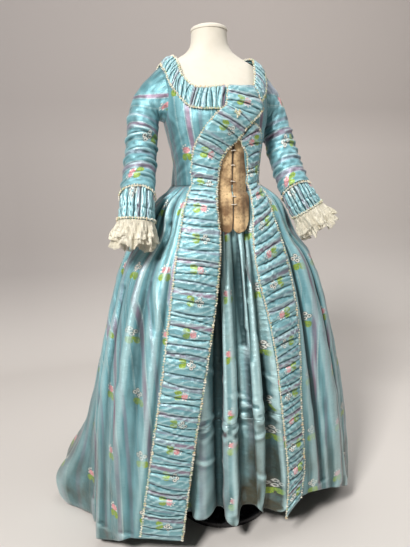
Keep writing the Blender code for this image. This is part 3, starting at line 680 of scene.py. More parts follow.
# %% Colours and repeat of the silk
PERIOD = 0.104  # across the cloth from one bouquet column to the next
REPEAT = 0.168  # along the warp from one bouquet to the next
BOUQUET_PLACE = 0.025  # from a mauve stripe's middle to the bouquet's
GROUND = (0.130, 0.345, 0.400)
GROUND_LIGHT = (0.240, 0.500, 0.560)
MAUVE = (0.290, 0.195, 0.275)
MAUVE_SOFT = (0.255, 0.330, 0.410)
PALE = (0.520, 0.660, 0.650)
PALE_FAINT = (0.330, 0.530, 0.560)
# painted shade along the long wrinkles, and the darker tone of thick slubs
SHADE_AND_SLUB = (0.050, 0.170, 0.200)
# painted shade for the valleys of the cloth
VALLEY_SHADE = (0.014, 0.040, 0.044)
# dirt at the hem, with painted shade low down and at the sides
SOIL_AND_SHADE = (0.078, 0.070, 0.042)
# lighter in patches from fading, and the colour of painted light higher up
FADED_AND_LIT = (0.440, 0.560, 0.520)
# painted highlight for the ridges of the cloth
RIDGE_HIGHLIGHT = (0.520, 0.740, 0.760)
PINK = (0.760, 0.200, 0.240)
PINK_LIGHT = (0.860, 0.520, 0.510)
WHITE = (0.860, 0.850, 0.780)
BROWN = (0.130, 0.110, 0.090)
LEAF = (0.370, 0.480, 0.045)
LEAF_DARK = (0.120, 0.280, 0.060)
DOTS = (
    (0.0075, 0.0165),
    (0.0135, 0.0110),
    (-0.0095, 0.0135),
    (-0.0120, 0.0000),
    (0.0135, 0.0010),
    (0.0, 0.0195),
)
BLOSSOMS = ((0.0000, 0.0040), (0.0105, 0.0115), (-0.0100, 0.0105), (0.0010, 0.0185))
LEAVES = (
    (-0.0092, -0.0135, 0.0084, 0.0098),
    (0.0092, -0.0130, 0.0088, 0.0090),
    (0.0, -0.0065, 0.0130, 0.0035),
)
STRIPES = (
    (0.000, MAUVE),
    (0.045, MAUVE),
    (0.075, MAUVE_SOFT),
    (0.086, PALE),
    (0.102, GROUND),
    (0.200, GROUND_LIGHT),
    (0.320, GROUND),
    (0.336, PALE),
    (0.350, GROUND),
    (0.364, PALE_FAINT),
    (0.380, GROUND),
    (0.500, GROUND_LIGHT),
    (0.600, GROUND_LIGHT),
    (0.640, MAUVE_SOFT),
    (0.700, MAUVE_SOFT),
    (0.730, GROUND),
    (0.820, GROUND_LIGHT),
    (0.890, GROUND),
    (0.902, PALE),
    (0.918, PALE),
    (0.930, MAUVE_SOFT),
    (0.960, MAUVE),
)
PETALS = ((0.0, BROWN), (0.30, BROWN), (0.42, WHITE), (0.74, WHITE), (0.84, BROWN))
RIB = 0.0009  # from one weft rib to the next
print(f"one repeat is {PERIOD} x {REPEAT} m, with {len(STRIPES)} stops across it")

# %% [markdown]
# ## Drawing the repeat
# Each leaf or blossom is an oval: the distance to its middle, less than 1 inside it. The least of several
# distances joins ovals into one shape. Two sorts of bouquet take turns from column to column.

# %% Ovals, wear, painted light and repeat


def nearness(tree, place, x, y, wide, tall):
    """1 at the edge of an oval round (x, y), less inside it."""
    scaled = put(
        tree,
        "VectorMath",
        place,
        (1 / wide, 1 / tall, 0),
        (-x / wide, -y / tall, 0),
        operation="MULTIPLY_ADD",
    )
    return put(tree, "VectorMath", scaled, operation="LENGTH", out=1)


def least(tree, values):
    """The smallest of several values, taken two at a time."""
    result = values[0]
    for value in values[1:]:
        result = calc(tree, "MINIMUM", result, value)
    return result


def inside(tree, distance):
    """1 where the distance is under 1, or else 0."""
    return calc(tree, "LESS_THAN", distance, 1.0)


def split(tree, vector):
    """The three parts of a vector."""
    made_node = tree.nodes.new("ShaderNodeSeparateXYZ")
    tree.links.new(vector, made_node.inputs[0])
    return made_node.outputs


def weathered_and_shaded(tree, uv, colour, fade_and_light, soil_and_shade_to):
    """The ground colour: lighter in patches from fading and higher up as painted light, and darker towards
    the floor and the sides as dirt and painted shade.
    """
    place = put(tree, "TexCoord", out=3)
    sideways, _, height = split(tree, place)
    patches = put(tree, "TexNoise", uv, None, 13.0, 3.0)
    # lighter in patches from fading, and lighter higher up as painted light
    high_up = put(tree, "MapRange", height, 0.42, 0.70, 0.15, 1.0)
    bleached_and_lit = put(tree, "MapRange", patches, 0.35, 0.65, fade_and_light * 0.5, fade_and_light * 1.5)
    colour = blend_colour(tree, calc(tree, "MULTIPLY", bleached_and_lit, high_up), colour, FADED_AND_LIT)
    # darker towards the floor and more at the sides: dirt at the hem and painted shade
    soil_and_shade_noise = put(tree, "TexNoise", place, None, 11.0, 4.0)
    low_down = put(tree, "MapRange", height, 0.64, 0.03, 0.0, soil_and_shade_to)
    soiled_and_shaded = calc(tree, "MULTIPLY", low_down, put(tree, "MapRange", soil_and_shade_noise, 0.35, 0.65, 0.55, 1.25))
    aside = calc(tree, "ABSOLUTE", calc(tree, "ADD", sideways, 0.20))
    soiled_and_shaded = calc(tree, "MULTIPLY", soiled_and_shaded, put(tree, "MapRange", aside, 0.06, 0.26, 0.40, 1.15))
    return blend_colour(tree, soiled_and_shaded, colour, SOIL_AND_SHADE)


# %% Stripes and bouquets


def silk_pattern(tree, fade_and_light, soil_and_shade_to):
    """Colour of the silk at its UV in metres: stripes, then leaves, then blossoms on top of them."""
    uv = put(tree, "UVMap", uv_map="cloth")
    loose = put(tree, "TexNoise", uv, None, 420.0, 2.0, out=1)
    shake = put(tree, "VectorMath", loose, (-0.5, -0.5, -0.5), operation="ADD")
    uv = put(tree, "VectorMath", shake, (0.0055, 0.0050, 0.0), uv, operation="MULTIPLY_ADD")
    parts = split(tree, uv)
    turns = calc(tree, "DIVIDE", parts[0], PERIOD)
    stripes = ramp(tree, calc(tree, "FRACT", turns), *STRIPES)
    stretched = put(tree, "VectorMath", uv, (45.0, 6.0, 1.0), operation="MULTIPLY")
    streaks = put(tree, "MapRange", put(tree, "TexNoise", stretched, None, 1.0, 3.0), 0.42, 0.70, 0.0, 0.60)
    stripes = blend_colour(tree, streaks, stripes, GROUND_LIGHT)
    stripes = weathered_and_shaded(tree, uv, stripes, fade_and_light, soil_and_shade_to)
    column = calc(tree, "ADD", turns, 0.5 - BOUQUET_PLACE / PERIOD)
    half_turns = calc(tree, "MULTIPLY", calc(tree, "FLOOR", column), 0.5)
    odd = calc(tree, "MULTIPLY", calc(tree, "FRACT", half_turns), 2.0)
    even = calc(tree, "SUBTRACT", 1.0, odd)
    across = calc(tree, "MULTIPLY_ADD", calc(tree, "FRACT", column), PERIOD, -PERIOD / 2)
    rows = calc(tree, "ADD", calc(tree, "DIVIDE", parts[1], REPEAT), 0.5)
    upwards = calc(tree, "MULTIPLY_ADD", calc(tree, "FRACT", rows), REPEAT, -REPEAT / 2)
    place = put(tree, "CombineXYZ", across, upwards, 0.0)
    leaf = least(tree, [nearness(tree, place, *oval) for oval in LEAVES])
    dots = least(tree, [nearness(tree, place, x, y, 0.0024, 0.0024) for x, y in DOTS])
    white = least(tree, [nearness(tree, place, x, y, 0.0070, 0.0064) for x, y in BLOSSOMS])
    pink = nearness(tree, place, -0.0005, 0.0055, 0.0130, 0.0086)
    strands = put(tree, "VectorMath", uv, (700.0, 200.0, 1.0), operation="MULTIPLY")
    veins = put(tree, "TexNoise", strands, None, 1.0, 2.0)
    leaf_colour = blend_colour(tree, put(tree, "MapRange", veins, 0.36, 0.56, 0.0, 1.0), LEAF_DARK, LEAF)
    fuzz = put(tree, "TexNoise", uv, None, 330.0, 2.0)
    pink_colour = blend_colour(tree, put(tree, "MapRange", fuzz, 0.40, 0.60, 0.0, 1.0), PINK, PINK_LIGHT)
    colour = blend_colour(tree, inside(tree, leaf), stripes, leaf_colour)
    colour = blend_colour(tree, calc(tree, "MULTIPLY", inside(tree, pink), even), colour, pink_colour)
    colour = blend_colour(tree, calc(tree, "MULTIPLY", inside(tree, dots), even), colour, WHITE)
    blossom = calc(tree, "MULTIPLY", inside(tree, white), odd)
    return uv, parts, blend_colour(tree, blossom, colour, ramp(tree, white, *PETALS))


# %% The three silks


def make_silk(name, crumple, facets, fade_and_light, ridge_highlight, soil_and_shade_to=0.72):
    """Taffeta: crisp sheen, weft ribs and slubs, long wrinkles, facets where gathered, wear, painted shade in
    wrinkles and valleys, and painted highlight on ridges.
    """
    mat, tree, shader = principled(name, Metallic=0.36, Sheen_Weight=0.22, Sheen_Roughness=0.35)
    uv, parts, colour = silk_pattern(tree, fade_and_light, soil_and_shade_to)
    long_streaks = put(tree, "VectorMath", uv, (30.0, 3.5, 1.0), operation="MULTIPLY")
    wrinkle = put(tree, "TexNoise", long_streaks, None, 1.0, 4.0)
    # painted shade: darker along the same long wrinkles that tilt the normal
    colour = blend_colour(tree, put(tree, "MapRange", wrinkle, 0.46, 0.70, 0.0, 0.55), colour, SHADE_AND_SLUB)
    shade_and_highlight = put(tree, "Attribute", attribute_name="shade_and_highlight", out=2)
    # painted shade: darker in the valleys, and wherever a sheet was given extra painted shade
    colour = blend_colour(tree, put(tree, "MapRange", shade_and_highlight, 0.05, 0.48, 0.0, 0.94), colour, VALLEY_SHADE)
    # painted highlight: lighter where a point stands out on a ridge
    colour = blend_colour(tree, put(tree, "MapRange", shade_and_highlight, -0.02, -0.30, 0.0, ridge_highlight), colour, RIDGE_HIGHLIGHT)
    slub_place = put(tree, "VectorMath", uv, (50.0, 900.0, 1.0), operation="MULTIPLY")
    slub = put(tree, "TexNoise", slub_place, None, 1.0, 3.0)
    thick = put(tree, "MapRange", slub, 0.5, 0.75, 0.0, 0.35)
    # thick slubs are a darker tone of the weave itself
    link(tree, blend_colour(tree, thick, colour, SHADE_AND_SLUB), shader, "Base Color")
    link(tree, put(tree, "MapRange", slub, 0.3, 0.7, 0.30, 0.46), shader, "Roughness")
    ribs = calc(tree, "SINE", calc(tree, "MULTIPLY", parts[1], 2 * math.pi / RIB))
    low = bump(tree, calc(tree, "MULTIPLY_ADD", slub, 2.0, ribs), 0.00008, 0.6)
    creased = put(tree, "TexVoronoi", uv, None, 75.0)
    middle = put(tree, "Bump", facets, 0.006, None, creased, low)
    link(tree, put(tree, "Bump", crumple, 0.006, None, wrinkle, middle), shader, "Normal")
    return mat


silk = make_silk("silk", 0.48, 0.16, 0.04, 0.55)
silk_under = make_silk("silk_under", 0.80, 0.30, 0.50, 0.95, 1.35)
silk_gathered = make_silk("silk_gathered", 0.36, 0.34, 0.07, 0.62, 0.68)
print("silks:", silk.name, silk_under.name, silk_gathered.name)

# %% [markdown]
# ## Linen, lace, metal and the form's cover
# The linen is a plain weave, unevenly browned. The lace is a net whose holes are an alpha cut along the cells
# of a Voronoi pattern, with solid flowers where the net is filled. The form is covered with smooth jersey.

# %% Other materials
# painted shade for the linen's valleys and slits
PAINTED_SHADE_BROWN = (0.030, 0.014, 0.008)


def woven(name, colours, stain, scale, roughness, pitch):
    """A plain weave from two crossed waves; noise of two scales stains it, up to the share of stain; painted
    shade darkens its valleys.
    """
    mat, tree, shader = principled(name, Roughness=roughness, Sheen_Weight=0.15)
    place = put(tree, "TexCoord", out=3)
    spots = put(tree, "TexNoise", place, None, scale, 4.0)
    specks = put(tree, "TexNoise", place, None, scale * 7, 3.0)
    stained = blend_colour(tree, put(tree, "MapRange", spots, 0.40, 0.64, 0.0, stain), *colours)
    speckling = put(tree, "MapRange", specks, 0.50, 0.70, 0.0, stain * 0.7)
    speckled = blend_colour(tree, speckling, stained, colours[1])
    # painted shade: dark brown in the valleys and wherever a sheet was given extra painted shade
    shade_and_highlight = put(tree, "Attribute", attribute_name="shade_and_highlight", out=2)
    shading = put(tree, "MapRange", shade_and_highlight, 0.10, 1.0, 0.0, 0.96)
    link(tree, blend_colour(tree, shading, speckled, PAINTED_SHADE_BROWN), shader, "Base Color")
    parts = split(tree, put(tree, "UVMap", uv_map="cloth"))
    threads = [calc(tree, "SINE", calc(tree, "MULTIPLY", parts[k], 2 * math.pi / pitch)) for k in (0, 1)]
    link(tree, bump(tree, calc(tree, "MULTIPLY", *threads), 0.0002, 0.6), shader, "Normal")
    return mat


linen = woven("linen", ((0.740, 0.520, 0.280), (0.170, 0.085, 0.035)), 0.90, 24.0, 0.9, 0.0011)
cover = woven("cover", ((0.640, 0.595, 0.510), (0.560, 0.505, 0.410)), 0.35, 7.0, 0.8, 0.0012)

lace, tree, shader = principled("lace", Roughness=0.85, Sheen_Weight=0.2)
uv = put(tree, "UVMap", uv_map="cloth")
net = put(tree, "TexVoronoi", uv, None, 420.0, feature="DISTANCE_TO_EDGE")
flowers = put(tree, "TexNoise", uv, None, 95.0, 2.0)
filled = ramp(tree, flowers, (0.54, (0, 0, 0)), (0.58, (1, 1, 1)))
threads = calc(tree, "LESS_THAN", net, 0.13)
link(tree, calc(tree, "MAXIMUM", threads, calc(tree, "MULTIPLY", filled, 0.92)), shader, "Alpha")
tone = put(tree, "TexNoise", uv, None, 30.0, 3.0)
link(tree, blend_colour(tree, tone, (0.86, 0.83, 0.72), (0.60, 0.53, 0.38)), shader, "Base Color")
link(tree, bump(tree, filled, 0.0004, 0.6), shader, "Normal")

enamel, tree, shader = principled("enamel", Roughness=0.22, Base_Color=(0.012, 0.012, 0.014, 1))
scuffs = put(tree, "TexNoise", put(tree, "TexCoord", out=3), None, 60.0, 4.0)
link(tree, put(tree, "MapRange", scuffs, 0.4, 0.7, 0.18, 0.34), shader, "Roughness")

hook_metal, tree, shader = principled("hook_metal", Metallic=0.25, Roughness=0.4)
tarnish = put(tree, "TexNoise", put(tree, "TexCoord", out=3), None, 400.0, 2.0)
link(tree, blend_colour(tree, tarnish, (0.92, 0.88, 0.80), (0.66, 0.60, 0.50)), shader, "Base Color")

fringe_floss, tree, shader = principled("fringe_floss", Roughness=0.8, Sheen_Weight=0.3)
uv = put(tree, "UVMap", uv_map="cloth")
sorts = ramp(
    tree,
    calc(tree, "FRACT", split(tree, uv)[0]),
    (0.0, (0.74, 0.70, 0.54)),
    (0.45, (0.80, 0.77, 0.66)),
    (0.52, (0.42, 0.50, 0.26)),
    (0.66, (0.50, 0.55, 0.34)),
    (0.72, (0.62, 0.44, 0.24)),
    (1.0, (0.74, 0.70, 0.54)),
)
fray = put(tree, "TexNoise", put(tree, "TexCoord", out=3), None, 900.0, 2.0)
link(tree, sorts, shader, "Base Color")
link(tree, bump(tree, fray, 0.0004, 0.8), shader, "Normal")
print("materials:", sorted(m.name for m in bpy.data.materials))

# %% [markdown]
# ## Form and stand
# The torso is the dressmaker's form that carries the gown: a smooth jersey cover over papier-mache, with a
# turned neck cap. It is read straight from the form's function on a finer grid than the solid has. The base
# is a spun plate, so a profile turned round the upright axis makes it.

# %% Form, cap and base


def closed_tube(name, points, low, high, mat, node, crease=42):
    """A closed solid: a ring of columns whose two open ends are shut by fans to the points low and high."""
    columns, rows = points.shape[:2]
    index = np.arange(columns) * rows
    ahead = np.roll(index, -1)
    first, last = np.full(columns, columns * rows), np.full(columns, columns * rows + 1)
    fans = np.concatenate([np.stack([ahead, index, first], 1), np.stack([index, ahead, last], 1)])
    fans[columns:, :2] += rows - 1
    faces = quads(columns, rows, True).tolist() + fans.tolist()
    obj = new_object(name, np.concatenate([points.reshape(-1, 3), [low, high]]), faces, mat)
    obj.data.set_sharp_from_angle(angle=math.radians(crease))
    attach(obj, "root")
    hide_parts(node)
    print(f"{name}: {len(faces)} faces")
    return obj


def turned(name, profile, mat, node, segments=96):
    """A closed profile of (radius, height) turned round the upright axis; its ends lie on the axis."""
    profile = np.array(profile, float)
    turn = np.linspace(0, 2 * np.pi, segments, endpoint=False)[:, None]
    r, z = profile[1:-1].T
    body = np.stack([r * np.cos(turn), r * np.sin(turn), z + 0 * turn], -1)
    return closed_tube(name, body, (0, 0, profile[0, 1]), (0, 0, profile[-1, 1]), mat, node)


def torso():
    """The form's sections about every 6 mm, with a shallow groove at the foot of the neck."""
    turn = np.linspace(-180, 180, 96, endpoint=False)
    a, z = np.meshgrid(turn, np.linspace(FORM["height"][0], NECK_TOP, 110), indexing="ij")
    neck_seam = 1.4300 + 0.006 * np.cos(np.radians(a))
    groove = 0.0012 * np.exp(-(((z - neck_seam) / 0.0016) ** 2))
    return form(a, z) - groove[..., None] * outward(form, a, z)


points = torso()
bottom_middle, top_middle = points[:, 0].mean(0), points[:, -1].mean(0)
closed_tube("dress_form_torso", points, bottom_middle, top_middle, cover, "form_torso", 50)

cap_profile = [(0, 0.0004), (0.0525, 0.0004), (0.0535, 0.0014), (0.0535, 0.0060), (0.0525, 0.0085)]
cap_profile += [(0.050, 0.0105), (0.043, 0.0138), (0.030, 0.0175), (0.016, 0.0192), (0, 0.0195)]
cap_profile = [(r, NECK_TOP + z) for r, z in cap_profile]
turned("neck_cap", cap_profile, cover, "form_neck_cap")
foot = [(0, 0), (0.146, 0), (0.149, 0.0006), (0.1515, 0.003), (0.152, 0.0045), (0.152, 0.0135)]
foot += [(0.1512, 0.016), (0.148, 0.0192), (0.144, 0.0205), (0.120, 0.0218), (0.085, 0.0238)]
foot += [(0.050, 0.0258), (0, 0.026)]
turned("base_plate", foot, enamel, "form_base", 128)
pole = bpy.data.objects["form_pole"]
pole.data.materials.clear()
pole.data.materials.append(enamel)

# %% [markdown]
# ## Petticoat
# The petticoat is five widths of the same silk, pleated to a band at the waist. Its folds are the waves that
# the solids have; finer ripples and the crumples left by handling are added square to the surface. The front
# width is pieced across, as the real one is, so it is two sheets with a seam between them.

# %% Petticoat widths


def wide_grid(first, last, low, high, columns, rows, gap=0.0003):
    """Angles and heights of a width, drawn in at both sides by the angle gap / radius."""
    a, z = np.meshgrid(np.linspace(first, last, columns), np.linspace(low, high, rows), indexing="ij")
    inset = np.degrees(gap / np.hypot(*np.moveaxis(petticoat(a, z)[..., :2], -1, 0)))
    return a + inset * np.linspace(1, -1, columns)[:, None], z


LONG_RIPPLES = ((11.0, 0.9, 0.4, 0.0012), (23.0, 1.7, 2.0, 0.0007), (5.3, 2.2, 1.1, 0.0012))
HANDLED = ((16.0, 21.0, 0.3, 0.0016), (-12.0, 26.0, 1.7, 0.0014), (4.0, 33.0, 2.6, 0.0010))
HEM_RIPPLES = ((9.0, 6.0, 2.2, 0.0022), (-15.0, 9.0, 0.2, 0.0012))


def petticoat_ripples(a, z):
    """Fine long ripples, short crumples in a band where the skirt is handled, and more near the hem."""
    u = a * METRES_A_DEGREE * 2.2
    long_waves = ripples(u, z, *LONG_RIPPLES)
    knee = np.exp(-(((z - 0.39 - 0.02 * np.sin(u * 18)) / 0.035) ** 2))
    handled = knee * ripples(u, z, *HANDLED)
    hem = ease((0.30 - z) / 0.2) * ripples(u, z, *HEM_RIPPLES)
    return long_waves * ease((1.03 - z) / 0.08) + handled + hem


COLUMN_ANGLE, COLUMN_STEP = -10.5, 35.5  # where one bouquet column hangs, and how far on the next one is
BOUQUET_ROWS = {"front_lower": 0.321}  # the height of a row of bouquets; the other widths share one
OTHER_ROW = 0.414


def petticoat_flat(a, z, row):
    """Across: t + (k - 1) t (1 - t) (1 - 2t) between columns k periods apart, so bouquets keep their size."""
    turns = (a - COLUMN_ANGLE) / COLUMN_STEP
    t = turns % 1
    x, y = np.moveaxis(petticoat(a, z)[..., :2], -1, 0)
    radius = np.hypot(x, y - read(CENTRE_LINE, "y", z))
    k = np.clip(math.radians(COLUMN_STEP) * 1.1 * radius / PERIOD, 0.6, 2.4)
    across = np.floor(turns) + t + (k - 1) * t * (1 - t) * (1 - 2 * t)
    return BOUQUET_PLACE + PERIOD * across, z - row


PETTICOAT_CREASES = (
    (0.0114, 0.960, 0.0065, 0.600, 0.0060, -0.016),
    (0.0416, 0.960, 0.0239, 0.740, 0.0060, -0.016),
    (0.0239, 0.760, 0.0208, 0.560, 0.0065, -0.014),
    (0.0543, 0.950, 0.0354, 0.780, 0.0050, -0.012),
    (-0.0520, 0.870, -0.0572, 0.100, 0.0080, -0.014),
    (-0.0240, 0.960, -0.0280, 0.780, 0.0050, -0.007),
    (-0.0400, 0.940, -0.0430, 0.800, 0.0050, -0.006),
    (0.0130, 0.640, 0.0104, 0.090, 0.0085, -0.017),
    (0.0364, 0.620, 0.0416, 0.130, 0.0110, 0.008),
    (0.0600, 0.560, 0.0680, 0.090, 0.0080, -0.013),
    (-0.0200, 0.560, -0.0260, 0.120, 0.0100, 0.007),
    (-0.030, 0.47, 0.015, 0.44, 0.006, 0.0035),
    (0.000, 0.43, 0.042, 0.40, 0.005, 0.0035),
    (0.030, 0.39, 0.070, 0.43, 0.006, 0.0030),
    (-0.060, 0.40, -0.020, 0.36, 0.006, 0.0030),
    (0.050, 0.52, 0.085, 0.47, 0.005, 0.0025),
    (-0.075, 0.55, -0.045, 0.50, 0.006, 0.0025),
    (0.010, 0.33, 0.055, 0.35, 0.007, 0.0025),
    (-0.100, 0.30, -0.050, 0.26, 0.007, 0.0030),
    (0.020, 0.22, 0.060, 0.18, 0.008, 0.0030),
    (0.290, 0.55, 0.340, 0.50, 0.008, 0.0030),
    (-0.300, 0.50, -0.250, 0.44, 0.008, 0.0030),
    (0.440, 0.42, 0.490, 0.38, 0.008, 0.0030),
)
PETTICOAT_LIFT = table(
    "angle lift",
    (-34.0, 0.055),
    (-25.0, 0.056),
    (-17.0, 0.032),
    (-11.0, 0.018),
    (-6.0, 0.030),
    (0.0, 0.047),
    (5.0, 0.058),
    (11.0, 0.040),
    (18.0, 0.018),
    (25.0, 0.014),
    (31.0, 0.034),
    (44.0, 0.055),
)
PETTICOAT_WIDTHS = (
    ("front_upper", -46.0, 46.0, 0.3852, 1.0331, 130, 118),
    ("front_lower", -46.0, 46.0, 0.062, 0.3848, 130, 62),
    ("side_right", -128.0, -46.0, 0.062, 1.0331, 64, 88),
    ("side_left", 46.0, 128.0, 0.062, 1.0331, 64, 88),
    ("back", 128.0, 232.0, 0.062, 1.0331, 70, 88),
)

# %% Petticoat sheets
petticoat_sheets = {}
for part_name, first, last, low, high, columns, rows in PETTICOAT_WIDTHS:
    a, z = wide_grid(first, last, low, high, columns, rows)
    z = z + read(PETTICOAT_LIFT, "lift", a, "angle") * ease((0.24 - z) / 0.17)
    normal = outward(petticoat, a, z)
    level = petticoat_ripples(a, z) + creases(a * METRES_A_DEGREE, z, *PETTICOAT_CREASES)
    points = petticoat(a, z) + normal * level[..., None]
    flat = petticoat_flat(a, z, BOUQUET_ROWS.get(part_name, OTHER_ROW))
    obj = sheet(f"petticoat_{part_name}_silk", points, normal, flat, silk_under, reach=0.009)
    petticoat_sheets[part_name] = obj
for part_name, obj in petticoat_sheets.items():
    declare(obj, (1.25, 1.0), [f"petticoat_{part_name}"])

a, z = np.meshgrid(np.linspace(-180, 180, 160, endpoint=False), np.linspace(1.0335, 1.050, 8), indexing="ij")
normal = outward(form, a, z)
points = form(a, z) + normal * (0.0029 + 0.0002 * np.sin(np.radians(a * 40)))[..., None]
waistband = sheet("petticoat_band", points, normal, flat_map(points), silk, closed=True)
declare(waistband, nodes=["petticoat_waistband"])

# %% [markdown]
# ## Linen fronts
# Under the gown's open front two pieces of coarse linen hook together over the form. They are plain sheets on
# the form's surface, with the pull of the hooks drawn as small ridges that run from each one. The shade in
# the slit between them and under the left robing is painted into their colour.

# %% Linen fronts and hooks
HOOK_HEIGHTS = (1.145, 1.105, 1.060, 1.018, 0.996)
LINING_LOW = {"right": 0.922, "left": 0.919}
LINING_TOP = 1.19


def lining_middle(z):
    """The angle of the line where the fronts meet: 9.5 degrees from 1.1 m up, eased to 0 at 0.9 m."""
    return 9.5 * (1 - ease((1.1 - z) / 0.2))


for side, name in SIDES:
    rows = np.linspace(LINING_LOW[name], LINING_TOP, 76)
    share, z = np.meshgrid(np.linspace(0, 1, 36), rows, indexing="ij")
    edge = lining_middle(z) + side * 0.3
    corner = 0.011 * np.abs(2 * share - 1) ** 4 + 0.0012 * np.sin(9 * share + side)
    z = z + corner * ease((LINING_LOW[name] + 0.03 - z) / 0.03)
    reach = np.interp(z, [0.917, 0.95, 1.06, 1.19], [14.5, 20.0, 26.0, 20.0])
    a = edge + side * reach * (share if side > 0 else 1 - share)
    away = (a - edge) * side * METRES_A_DEGREE
    puckers = sum(
        0.0009 * np.exp(-(((z - h - 0.14 * away * math.sin(7 * k + side)) / (0.003 + 0.10 * away)) ** 2))
        for k, h in enumerate(HOOK_HEIGHTS)
    ) * np.exp(-away / 0.022)
    hem = 0.0005 * (np.exp(-(((away - 0.006) / 0.0007) ** 2)) + np.exp(-(((away - 0.0085) / 0.0007) ** 2)))
    waves = ripples(a, z, (0.06, 9.0, side * 0.8, 1.0), (0.13, -6.0, 1.9, 0.5))
    loose = 0.0012 * ease((WAIST - z) / 0.08) * waves
    normal = outward(lining, a, z)
    rolled = 0.0030 * np.exp(-((away / 0.0035) ** 2))
    level = puckers - hem - rolled + loose * ease(away / 0.02)
    points = lining(a, z) + normal * level[..., None]
    # painted shade: a dark slit where the two fronts meet, wider higher up, a little over each whole front,
    # and on the left front more towards its outer side, where the robing shades it
    slit = np.interp(z, [0.92, 1.06, 1.10, 1.15], [0.0012, 0.0022, 0.0040, 0.0060])
    painted_shade = 0.95 * np.exp(-((away / slit) ** 2)) + 0.10
    if side > 0:
        painted_shade = painted_shade + 0.42 * ease((away - 0.016) / 0.020) * ease((z - 0.93) / 0.05)
    obj = sheet(f"linen_front_{name}", points, normal, flat_map(points), linen, painted_shade=painted_shade)
    declare(obj, nodes=[f"lining_front_{name}"])

# %% [markdown]
# ## Bodice
# Each front, strap and back is a patch between its own seams, as it is cut. The patch blends its four edges,
# which keeps neighbouring pieces a seam apart; the strain of a fitted bodice shows as low ridges outwards.

# %% Bodice fronts, straps and backs


def front_edge(side, height):
    """The angle of the gown's front edge: the inner edge of the robing that is sewn along it."""
    tab = ROBING_RIGHT if side < 0 else ROBING_LEFT
    return smooth(tab["inner_height"], tab["inner_angle"], height)


def bodice_flat(a, z):
    """Across: the angle from a bouquet column at 58 degrees; along: the height from its bouquet."""
    return BOUQUET_PLACE + (np.abs(a) - 58.2) * METRES_A_DEGREE, z - 1.145


def bodice_sheet(name, a, z, side, node, rows_of_creases):
    """A piece of the bodice at those angles and heights: creases and ripples that fade to 0 at the waist, and
    painted shade, deeper at the sides below the armholes.
    """
    u = np.abs(a) * METRES_A_DEGREE
    level = 0.0002 + np.abs(creases(u, z, *rows_of_creases))
    level = level + 0.0006 * (1 + ripples(u, z, (21.0, 9.0, 0.7 + side, 0.6), (9.0, 25.0, 2.0 - side, 0.4)))
    level = level * ease((z - WAIST) / 0.02)
    normal = outward(bodice, a, z)
    points = bodice(a, z) + normal * level[..., None]
    # painted shade: a little over the whole piece, and more at the sides below the armholes, where the arms
    # shade it
    aside = np.abs(a)
    painted_shade = 0.13 + 0.16 * ease((aside - 50) / 30) * ease((1.27 - z) / 0.06) * ease((125 - aside) / 30)
    obj = sheet(name, points, normal, bodice_flat(a, z), silk, painted_shade=painted_shade)
    declare(obj, nodes=[node])


FRONT_CREASES = (
    (0.215, 1.075, 0.150, 1.105, 0.008, 0.0018),
    (0.222, 1.095, 0.130, 1.150, 0.009, 0.0018),
    (0.226, 1.130, 0.160, 1.170, 0.008, 0.0014),
    (0.205, 1.170, 0.120, 1.215, 0.009, 0.0016),
    (0.180, 1.235, 0.110, 1.262, 0.008, 0.0012),
    (0.196, 1.255, 0.150, 1.205, 0.008, 0.0014),
)
BACK_CREASES = (
    (0.245, 1.070, 0.330, 1.110, 0.005, 0.0014),
    (0.250, 1.110, 0.340, 1.160, 0.005, 0.0014),
    (0.270, 1.170, 0.345, 1.200, 0.004, 0.0010),
)
STRAP_CREASES = (
    (0.150, 1.350, 0.200, 1.362, 0.004, 0.0010),
    (0.220, 1.395, 0.270, 1.385, 0.004, 0.0010),
)

